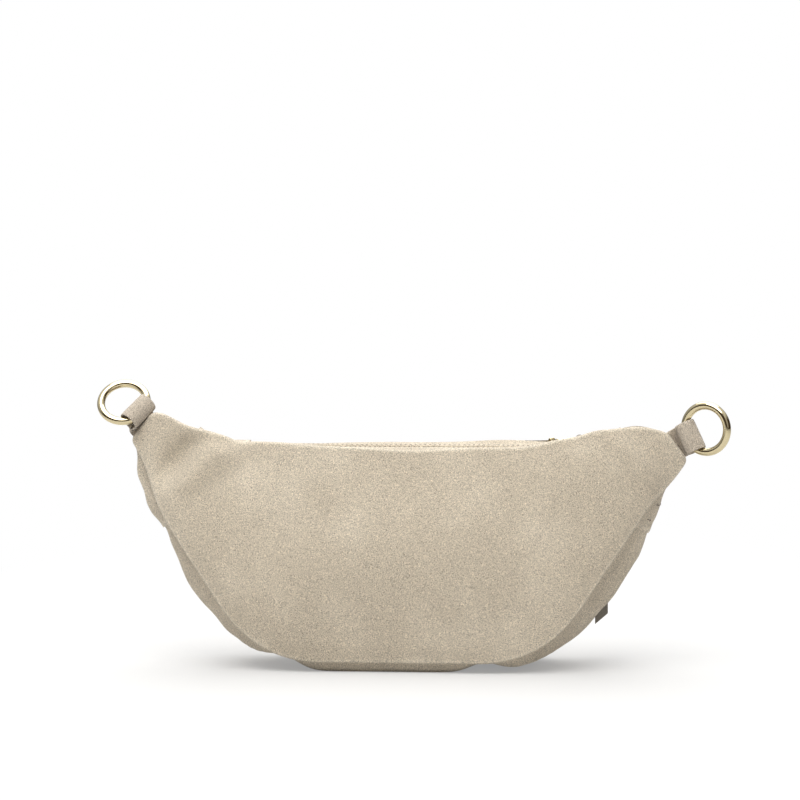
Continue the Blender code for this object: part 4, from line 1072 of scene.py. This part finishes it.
def build_pull(name, node, body, axis, down, length, wide):
    """A strip of leather folded round the link, stitched along both edges, its end cut on the slant."""
    looks = bpy.context.scene.belt_bag
    out = np.cross(wide, down)
    bore = LINK_WIRE + GAP

    def place(a, b, w):
        slant = PULL_CUT * w * smooth((-a / length - 0.6) / 0.4)
        return axis - (a + slant)[..., None] * down + b[..., None] * out + w[..., None] * wide

    middle = fold_middle(bore, PULL_LEATHER, length)
    piece = folded(name, middle, PULL_LEATHER, 0.5 * PULL_WIDTH, place, finishes()["leather"])
    settle(piece, body, "pull_leather", node)
    a = -np.arange(1.9 * (bore + PULL_LEATHER), length - 0.0035, looks.stitch_pitch * 0.8)
    spots, turned = [], []
    for face in (-1.0, 1.0):
        for w in (-1.0, 1.0):
            edge = np.full(len(a), w * (0.5 * PULL_WIDTH - 0.0013))
            spots.append(place(a, np.full(len(a), face * (PULL_LEATHER + 0.00003)), edge))
            turned.append(np.tile(face * out, (len(a), 1)))
    spots, turned = np.concatenate(spots), np.concatenate(turned)
    heading = np.tile(down, (len(spots), 1))
    stitches = threads(name + "_stitches", spots, heading, turned, PULL_STITCH, PULL_THREAD)
    settle(stitches, body, "pull_leather")


def build_zip(kind, slider_x, place, words, tape_end, hanging, pull_length):
    """Tapes, teeth, link and pull of one zip; its slider and stops keep their solids, in gold."""
    centre, across, up = place
    wide, link_down, pull_down = hanging
    gold = finishes()["gold"]
    for side, word, shift in ((-1, words[0], 0.0), (1, words[1], 0.5)):
        tape = zip_tape(f"{kind}_tape_{word}", side, tape_end + OVERRUN, centre, across, up)
        settle(tape, "bag", "zip_tape", f"{kind}_zip_tape_{word}")
        teeth = zip_teeth(f"{kind}_teeth_{word}", side, slider_x, shift, centre, across, up)
        settle(teeth, "bag", "zip_tape")
    for part in (f"zip_top_stop_{words[0]}", f"zip_top_stop_{words[1]}", "zip_end_stop", "slider"):
        NODES[f"{kind}_{part}"].material_slots[0].material = gold
    eye = centre + slider_x * X + EYE_HEIGHT * up
    parts, axis = link_parts(eye, unit(link_down), wide)
    settle(build(f"{kind}_link", *parts, gold), f"{kind} link", "pale_gold", f"{kind}_puller")
    build_pull(f"{kind}_pull_strip", f"{kind}_pull", f"{kind} pull", axis, unit(pull_down), pull_length, wide)


def build_zips():
    toward = [math.cos(math.radians(rise)) * X + math.sin(math.radians(rise)) * Z for rise in (6.0, 14.0)]
    centre = np.array((0.0, MIDDLE_Y, STRIP_Z - SUEDE - GAP - 0.5 * TAPE))
    place, words, hanging = (centre, Y, Z), ("back", "front"), (Y, *toward)
    build_zip("main", MAIN_SLIDER_X, place, words, STRIP_END_X, hanging, MAIN_PULL_LENGTH)
    down = math.sin(math.radians(10.0)) * Y - math.cos(math.radians(10.0)) * Z
    centre = np.array((0.0, POCKET_Y - SUEDE - GAP - 0.5 * TAPE, POCKET_Z))
    place, words, hanging = (centre, Z, Y), ("lower", "upper"), (X, down, down)
    build_zip("pocket", POCKET_SLIDER_X, place, words, POCKET_TAPE_END_X, hanging, POCKET_PULL_LENGTH)


# Stitching


def laid_on(name, guesses):
    """The nearest points to the guesses on a finished piece, and the piece's normals there."""
    piece = bpy.data.objects.get(name)
    if piece is None:
        raise RuntimeError(f"build {name} before its stitching")
    found = [piece.closest_point_on_mesh(Vector(guess)) for guess in guesses]
    return np.array([f[1] for f in found]), np.array([f[2] for f in found])


def seam(name, cover, guesses):
    """A row of stitches on a cover, each along the row and square to the suede."""
    looks = bpy.context.scene.belt_bag
    spots, normals = laid_on(cover, guesses)
    heading = np.gradient(spots, axis=0)
    heading = unit(heading - np.sum(heading * normals, axis=1, keepdims=True) * normals)
    step = float(np.mean(np.linalg.norm(np.diff(spots, axis=0), axis=1)))
    piece = threads(name, spots, heading, normals, looks.stitch_share * step, looks.thread_radius)
    return settle(piece, "bag", "suede")


def build_stitching():
    pitch = bpy.context.scene.belt_bag.stitch_pitch
    beside = OPENING_HALF + SEAM_FROM_ZIP
    x = np.arange(-STRIP_END_X + 0.008, STRIP_END_X - 0.008, pitch)
    for side, word in ((-1, "back"), (1, "front")):
        guesses = in_row(x, MIDDLE_Y + side * beside, STRIP_Z + 0.001)
        seam(f"zip_strip_stitches_{word}", f"zip_strip_{word}", guesses)
    x = np.arange(-POCKET_TAPE_END_X, POCKET_TAPE_END_X, pitch)
    for side, word in ((-1, "lower"), (1, "upper")):
        guesses = in_row(x, POCKET_Y + 0.001, POCKET_Z + side * beside)
        seam(f"pocket_stitches_{word}", f"front_cover_{word}", guesses)
    flank = HALF[LOWER_MARK:][::-1]
    for side, word in ((-1, "left"), (1, "right")):
        for number, z in enumerate(END_SEAM_HEIGHTS):
            out = side * (np.interp(z, flank[:, 1], flank[:, 0]) + 0.004)
            back, front = seam_depths(np.array([out]), np.array([z]))
            y = np.arange(back[0] + SUEDE + 0.0022, front[0] - SUEDE - 0.0018, pitch)
            seam(f"gusset_end_stitches_{word}_{number + 1}", f"gusset_end_cover_{word}", in_row(out, y, z))


# Linings


def outline_half_width(z, inset):
    """Half the width inside the outline at each height, that far in from it."""
    flank = HALF[LOWER_MARK:]
    inner = flank - inset * outward_at(flank)
    order = np.argsort(inner[:, 1])
    return np.interp(z, inner[order, 1], inner[order, 0])


def cloth_bag(name, node, z, half, low, high, keep=None, capped=(True, False)):
    """A bag of cloth from level superellipses: x = half |cos|^0.55, y as |sin|^0.55 between low and high."""
    count = 120
    turn = 2.0 * math.pi * (np.arange(count) + 0.5) / count
    gx, gy = powered(np.cos(turn), 0.55), powered(np.sin(turn), 0.55)
    level = z[:, None] + 0.0 * gx[None]
    sheets = []
    for inset in (0.0, CLOTH):
        x = (half[:, None] - inset) * gx
        bottom, top = low(x, level) + inset, high(x, level) - inset
        y = 0.5 * (bottom + top) + 0.5 * (top - bottom) * gy
        raised = np.where(level < z[0] + 0.001, inset, 0.0) - np.where(level > z[-1] - 0.0009, inset, 0.0)
        sheets.append(np.stack((x, y, level + raised), axis=-1))
    cells = None
    if keep is not None:
        corner, beside = sheets[0], np.roll(sheets[0], -1, axis=1)
        cells = keep(0.25 * (corner[:-1] + corner[1:] + beside[:-1] + beside[1:]))
    piece = doubled(name, sheets, "lining", 50.0, keep=cells, wrap=True, capped=capped)
    return settle(piece, "bag", "lining_fabric", node)


def build_linings():
    wall = SUEDE + 0.0016
    inset = SEAM_INSET + wall
    chain = GAP + 0.5 * TAPE + 0.5 * TOOTH_HEIGHT + GAP
    pocket_face = POCKET_Y - SUEDE - chain
    pocket_top = POCKET_Z + 0.0048 + 0.009

    def back_limit(x, z):
        return seam_depths(x, z)[0] + wall

    def pocket_front(x, z):
        return np.minimum(seam_depths(x, z)[1] - SUEDE - 0.001, pocket_face)

    def pocket_back(x, z):
        return pocket_front(x, z) - POCKET_DEPTH

    def front_limit(x, z):
        behind = np.where(z < pocket_top + 0.002, pocket_back(x, z) - 3.0 * GAP, 1.0)
        return np.minimum(seam_depths(x, z)[1] - wall, behind)

    floor, roof = BASE_Z + inset, STRIP_Z - SUEDE - chain
    z = np.concatenate((floor + np.array((0.0, 0.002)), np.linspace(floor + 0.006, roof - 0.0012, 26)))
    half = np.minimum(LINING_HALF, outline_half_width(z + 0.001, inset)) - np.where(z == floor, 0.008, 0.0)
    slot_half = STRIP_END_X + 0.008
    z, half = np.append(z, (roof, roof)), np.append(half, (half[-1] - 0.004, slot_half))

    def low(x, level):
        side = back_limit(x, level)
        side[-1] = MIDDLE_Y - MOUTH
        return side

    def high(x, level):
        side = front_limit(x, level)
        side[-1] = MIDDLE_Y + MOUTH
        return side

    cloth_bag("main_lining_cloth", "main_lining", z, half, low, high)
    near, far = POCKET_Z - 0.0060, POCKET_Z + 0.0060
    below, above = np.linspace(0.022, near, 14), np.linspace(far + 0.003, pocket_top, 4)
    z = np.concatenate(((0.020,), below, (far,), above))
    half = np.minimum(outline_half_width(z, inset + 0.002), POCKET_TAPE_END_X + 0.004)

    def keep(m):
        x, y, level = np.moveaxis(m, -1, 0)
        return ~((level > near) & (level < far) & (y > pocket_front(x, level) - 0.0026))

    cloth_bag("pocket_lining_cloth", "pocket_lining", z, half, pocket_back, pocket_front, keep, (True, True))


# Stage

WHITE = (1.0, 1.0, 1.0)
# Grey paper near the bag, taken dark enough to stand for the bag's soft shadow: painted shadow
PAPER_WITH_PAINTED_SHADOW = (0.60, 0.597, 0.590)
ROOM_LOW = (0.24, 0.24, 0.24)
ROOM_HIGH = (0.99, 0.99, 0.99)
ROOM_DEEP = (0.07, 0.05, 0.035)
FLOOR_HALF = 6.0
CAMERA_TURN, CAMERA_TILT = 3.5, 5.0
CAMERA_DISTANCE = 2.0
CAMERA_TARGET = (-0.0042, -0.03, 0.1776)
LENS_MM, SENSOR_MM = 139.6, 36.0


def area_light(name, place, target, size, energy, colour):
    light = bpy.data.lights.new(name, "AREA")
    light.shape, light.size, light.energy, light.color = "DISK", size, energy, colour
    made = bpy.data.objects.new(name, light)
    bpy.context.scene.collection.objects.link(made)
    made.location = place
    made.rotation_euler = (Vector(target) - Vector(place)).to_track_quat("-Z", "Y").to_euler()
    return made


def floor_finish():
    """Grey paper near the bag, which keeps its real shadow, and plain white to the camera further away: the
    fade from grey by the bag to white is a painted shadow, and a share of white glow to the camera even by the
    bag is painted light that lightens the real shadow.
    """
    at = Finish("floor", PAPER_WITH_PAINTED_SHADOW, 0.9)
    flat = at.node("ShaderNodeMapping", {}, {"Vector": at.place, "Scale": (1.0, 0.55, 1.0)})
    reach = at.node("ShaderNodeVectorMath", {"operation": "LENGTH"}, {0: flat}, "Value").between(0.18, 0.42)
    white = at.node("ShaderNodeEmission", {}, {"Color": opaque(WHITE), "Strength": 1.0})
    paper = Socket(at, at.shader.outputs["BSDF"])
    # Painted shadow: grey paper round the bag fading to white further out; painted light: at least 0.30 white
    # glow to the camera lightens the shadow by the bag.
    shown = at.mix_shader((reach * 0.70 + 0.30) * at.camera_ray(), paper, white)
    at.feed(at.nodes["Material Output"].inputs["Surface"], shown)
    at.finish(None, None, at.noise(500.0), 0.00002, 0.2)
    return at.material


def build_world():
    """White to the camera; to the bag and its rings a pale room, darker behind the camera and low down."""
    world = bpy.data.worlds.new("studio")
    bpy.context.scene.world = world
    at = Tree(world)
    at.nodes.clear()
    side, depth, rise = at.axes(at.node("ShaderNodeTexCoord", {}, {}, "Generated"))
    behind_camera = (depth * -1.0).between(0.15, 0.45) * rise.between(0.75, 0.40)
    dark = behind_camera + side.between(0.62, 0.80) * rise.between(0.70, 0.40)
    strength = bpy.context.scene.belt_bag.room_light
    low, high, deep, white = (
        at.node("ShaderNodeBackground", {}, {"Color": opaque(colour), "Strength": level})
        for colour, level in zip((ROOM_LOW, ROOM_HIGH, ROOM_DEEP, WHITE), (strength, strength, strength, 1.0))
    )
    pale = at.mix_shader(rise.between(-0.05, 0.85), low, high)
    room = at.mix_shader(dark.math("MINIMUM", dark, 1.0), pale, deep)
    out = at.nodes.new("ShaderNodeOutputWorld")
    at.feed(out.inputs["Surface"], at.mix_shader(at.camera_ray(), room, white))


def build_stage():
    scene = bpy.context.scene
    mesh = bpy.data.meshes.new("floor")
    corners = [(x * FLOOR_HALF, y * FLOOR_HALF, 0.0) for x, y in ((-1, -1), (1, -1), (1, 1), (-1, 1))]
    mesh.from_pydata(corners, [], [(0, 1, 2, 3)])
    mesh.materials.append(floor_finish())
    floor = bpy.data.objects.new("floor", mesh)
    scene.collection.objects.link(floor)
    build_world()
    power = scene.belt_bag.key_light
    lights = [
        area_light("key_light", (-0.20, -0.80, 1.50), (0.0, -0.02, 0.10), 1.5, power, (1.0, 0.995, 0.98)),
        area_light("top_light", (0.0, 0.60, 1.30), (0.0, 0.15, 0.0), 1.5, 0.60 * power, WHITE),
        area_light("fill_light", (0.90, -1.30, 0.70), (0.0, 0.0, 0.08), 1.2, 0.06 * power, WHITE),
    ]
    lens = bpy.data.cameras.new("camera")
    lens.sensor_width, lens.lens, lens.clip_start, lens.clip_end = SENSOR_MM, LENS_MM, 0.05, 30.0
    camera = bpy.data.objects.new("camera", lens)
    scene.collection.objects.link(camera)
    turn, tilt = math.radians(CAMERA_TURN), math.radians(CAMERA_TILT)
    away = Vector((math.sin(turn) * math.cos(tilt), -math.cos(turn) * math.cos(tilt), math.sin(tilt)))
    target = Vector(CAMERA_TARGET)
    camera.location = target + CAMERA_DISTANCE * away
    camera.rotation_euler = (target - camera.location).to_track_quat("-Z", "Y").to_euler()
    scene.camera = camera
    scene.view_settings.view_transform = "Standard"


# Add-on


def colour_setting(name, value, description):
    return bpy.props.FloatVectorProperty(
        name=name, description=description, default=value, subtype="COLOR", size=3, min=0.0, max=1.0
    )


def number_setting(name, value, description, least=0.0, **limits):
    return bpy.props.FloatProperty(name=name, description=description, default=value, min=least, **limits)


def length_setting(name, value, description):
    return number_setting(name, value, description, unit="LENGTH", precision=5)


class BeltBagLooks(bpy.types.PropertyGroup):
    """Colours, sizes and light of the belt bag."""

    suede: colour_setting("Suede", (0.575, 0.500, 0.390), "Colour of the suede with its nap lying flat")
    # The colour of the pale, rubbed nap, which also paints the highlight along the turned edges.
    suede_rubbed_and_highlit: colour_setting(
        "Rubbed and highlit suede", (0.715, 0.640, 0.520), "Colour of the suede where its nap stands up or is rubbed"
    )
    tab: colour_setting("Tab suede", (0.470, 0.405, 0.325), "Colour of the two ring tabs")
    # The colour of the tabs' edges: rubbed suede with a painted highlight.
    tab_rubbed_and_highlit: colour_setting(
        "Rubbed and highlit tab suede", (0.580, 0.510, 0.420), "Colour of the ring tabs at their edges"
    )
    # The pulls' colour is as dark as they look in the bag's shadow: partly the leather's own colour, partly
    # painted shade.
    leather: colour_setting("Pull leather", (0.215, 0.192, 0.160), "Colour of the zip pulls")
    lining: colour_setting("Lining", (0.220, 0.190, 0.160), "Colour of the woven lining")
    tape: colour_setting("Zip tape", (0.570, 0.495, 0.390), "Colour of the zip tapes")
    teeth: colour_setting("Zip teeth", (0.620, 0.545, 0.430), "Colour of the moulded teeth")
    gold: colour_setting("Metal", (0.600, 0.520, 0.335), "Colour of the rings, sliders, links and stops")
    thread: colour_setting("Thread", (0.150, 0.122, 0.095), "Colour of the stitching")
    fold_depth: length_setting("Fold depth", 0.0040, "Height of the folds that wear has left in the panels")
    lean: length_setting("Lean", 0.0044, "How far the back leans to the left below the corners")
    pucker_depth: length_setting("Pucker depth", 0.0004, "Height of the ripples along the seams")
    edge_radius: length_setting("Edge radius", 0.0014, "Radius of the turned edges of the panels")
    stitch_pitch: length_setting("Stitch pitch", 0.0032, "Distance from one stitch to the next")
    thread_radius: length_setting("Thread radius", 0.00036, "Radius of the sewing thread")
    stitch_share: number_setting(
        "Stitch share", 0.68, "Length of a stitch as a share of the pitch", 0.1, max=1.0
    )
    key_light: number_setting("Key light", 25.0, "Power of the key light in watts")
    room_light: number_setting("Room light", 1.0, "Strength of the pale room")


class BeltBagPanels(bpy.types.Operator):
    """Build the suede back and the two suede fronts."""

    bl_idname = "belt_bag.panels"
    bl_label = "Panels"

    def execute(self, context):
        build_panels()
        return {"FINISHED"}


class BeltBagGussets(bpy.types.Operator):
    """Build the gusset, its end pieces and the strips beside the main zip."""

    bl_idname = "belt_bag.gussets"
    bl_label = "Gussets"

    def execute(self, context):
        build_gussets()
        return {"FINISHED"}


class BeltBagRings(bpy.types.Operator):
    """Build the two O-rings and the folded tabs that hold them."""

    bl_idname = "belt_bag.rings"
    bl_label = "Rings and tabs"

    def execute(self, context):
        build_rings()
        return {"FINISHED"}


class BeltBagZips(bpy.types.Operator):
    """Build both zips with their teeth, links and leather pulls."""

    bl_idname = "belt_bag.zips"
    bl_label = "Zips"

    def execute(self, context):
        build_zips()
        return {"FINISHED"}


class BeltBagStitching(bpy.types.Operator):
    """Lay the stitching on the finished covers."""

    bl_idname = "belt_bag.stitching"
    bl_label = "Stitching"

    def execute(self, context):
        build_stitching()
        return {"FINISHED"}


class BeltBagLinings(bpy.types.Operator):
    """Build the cloth bags inside the main compartment and the pocket."""

    bl_idname = "belt_bag.linings"
    bl_label = "Linings"

    def execute(self, context):
        build_linings()
        return {"FINISHED"}


class BeltBagStage(bpy.types.Operator):
    """Set the floor, the lights, the world and the camera."""

    bl_idname = "belt_bag.stage"
    bl_label = "Stage"

    def execute(self, context):
        build_stage()
        return {"FINISHED"}


STEPS = (
    BeltBagPanels, BeltBagGussets, BeltBagRings, BeltBagZips,
    BeltBagStitching, BeltBagLinings, BeltBagStage,
)


class BeltBagPanel(bpy.types.Panel):
    """The belt bag's settings and steps in the sidebar."""

    bl_idname = "VIEW3D_PT_belt_bag"
    bl_label = "Belt bag"
    bl_space_type = "VIEW_3D"
    bl_region_type = "UI"
    bl_category = "Belt bag"

    def draw(self, context):
        looks = context.scene.belt_bag
        for key in BeltBagLooks.__annotations__:
            self.layout.prop(looks, key)
        for step in STEPS:
            self.layout.operator(step.bl_idname)


def register():
    for made in (BeltBagLooks, *STEPS, BeltBagPanel):
        bpy.utils.register_class(made)
    bpy.types.Scene.belt_bag = bpy.props.PointerProperty(type=BeltBagLooks)


def unregister():
    del bpy.types.Scene.belt_bag
    for made in reversed((BeltBagLooks, *STEPS, BeltBagPanel)):
        bpy.utils.unregister_class(made)


def main():
    register()
    bpy.ops.belt_bag.panels()
    bpy.ops.belt_bag.gussets()
    bpy.ops.belt_bag.rings()
    bpy.ops.belt_bag.zips()
    bpy.ops.belt_bag.stitching()
    bpy.ops.belt_bag.linings()
    bpy.ops.belt_bag.stage()


if __name__ == "__main__":
    main()
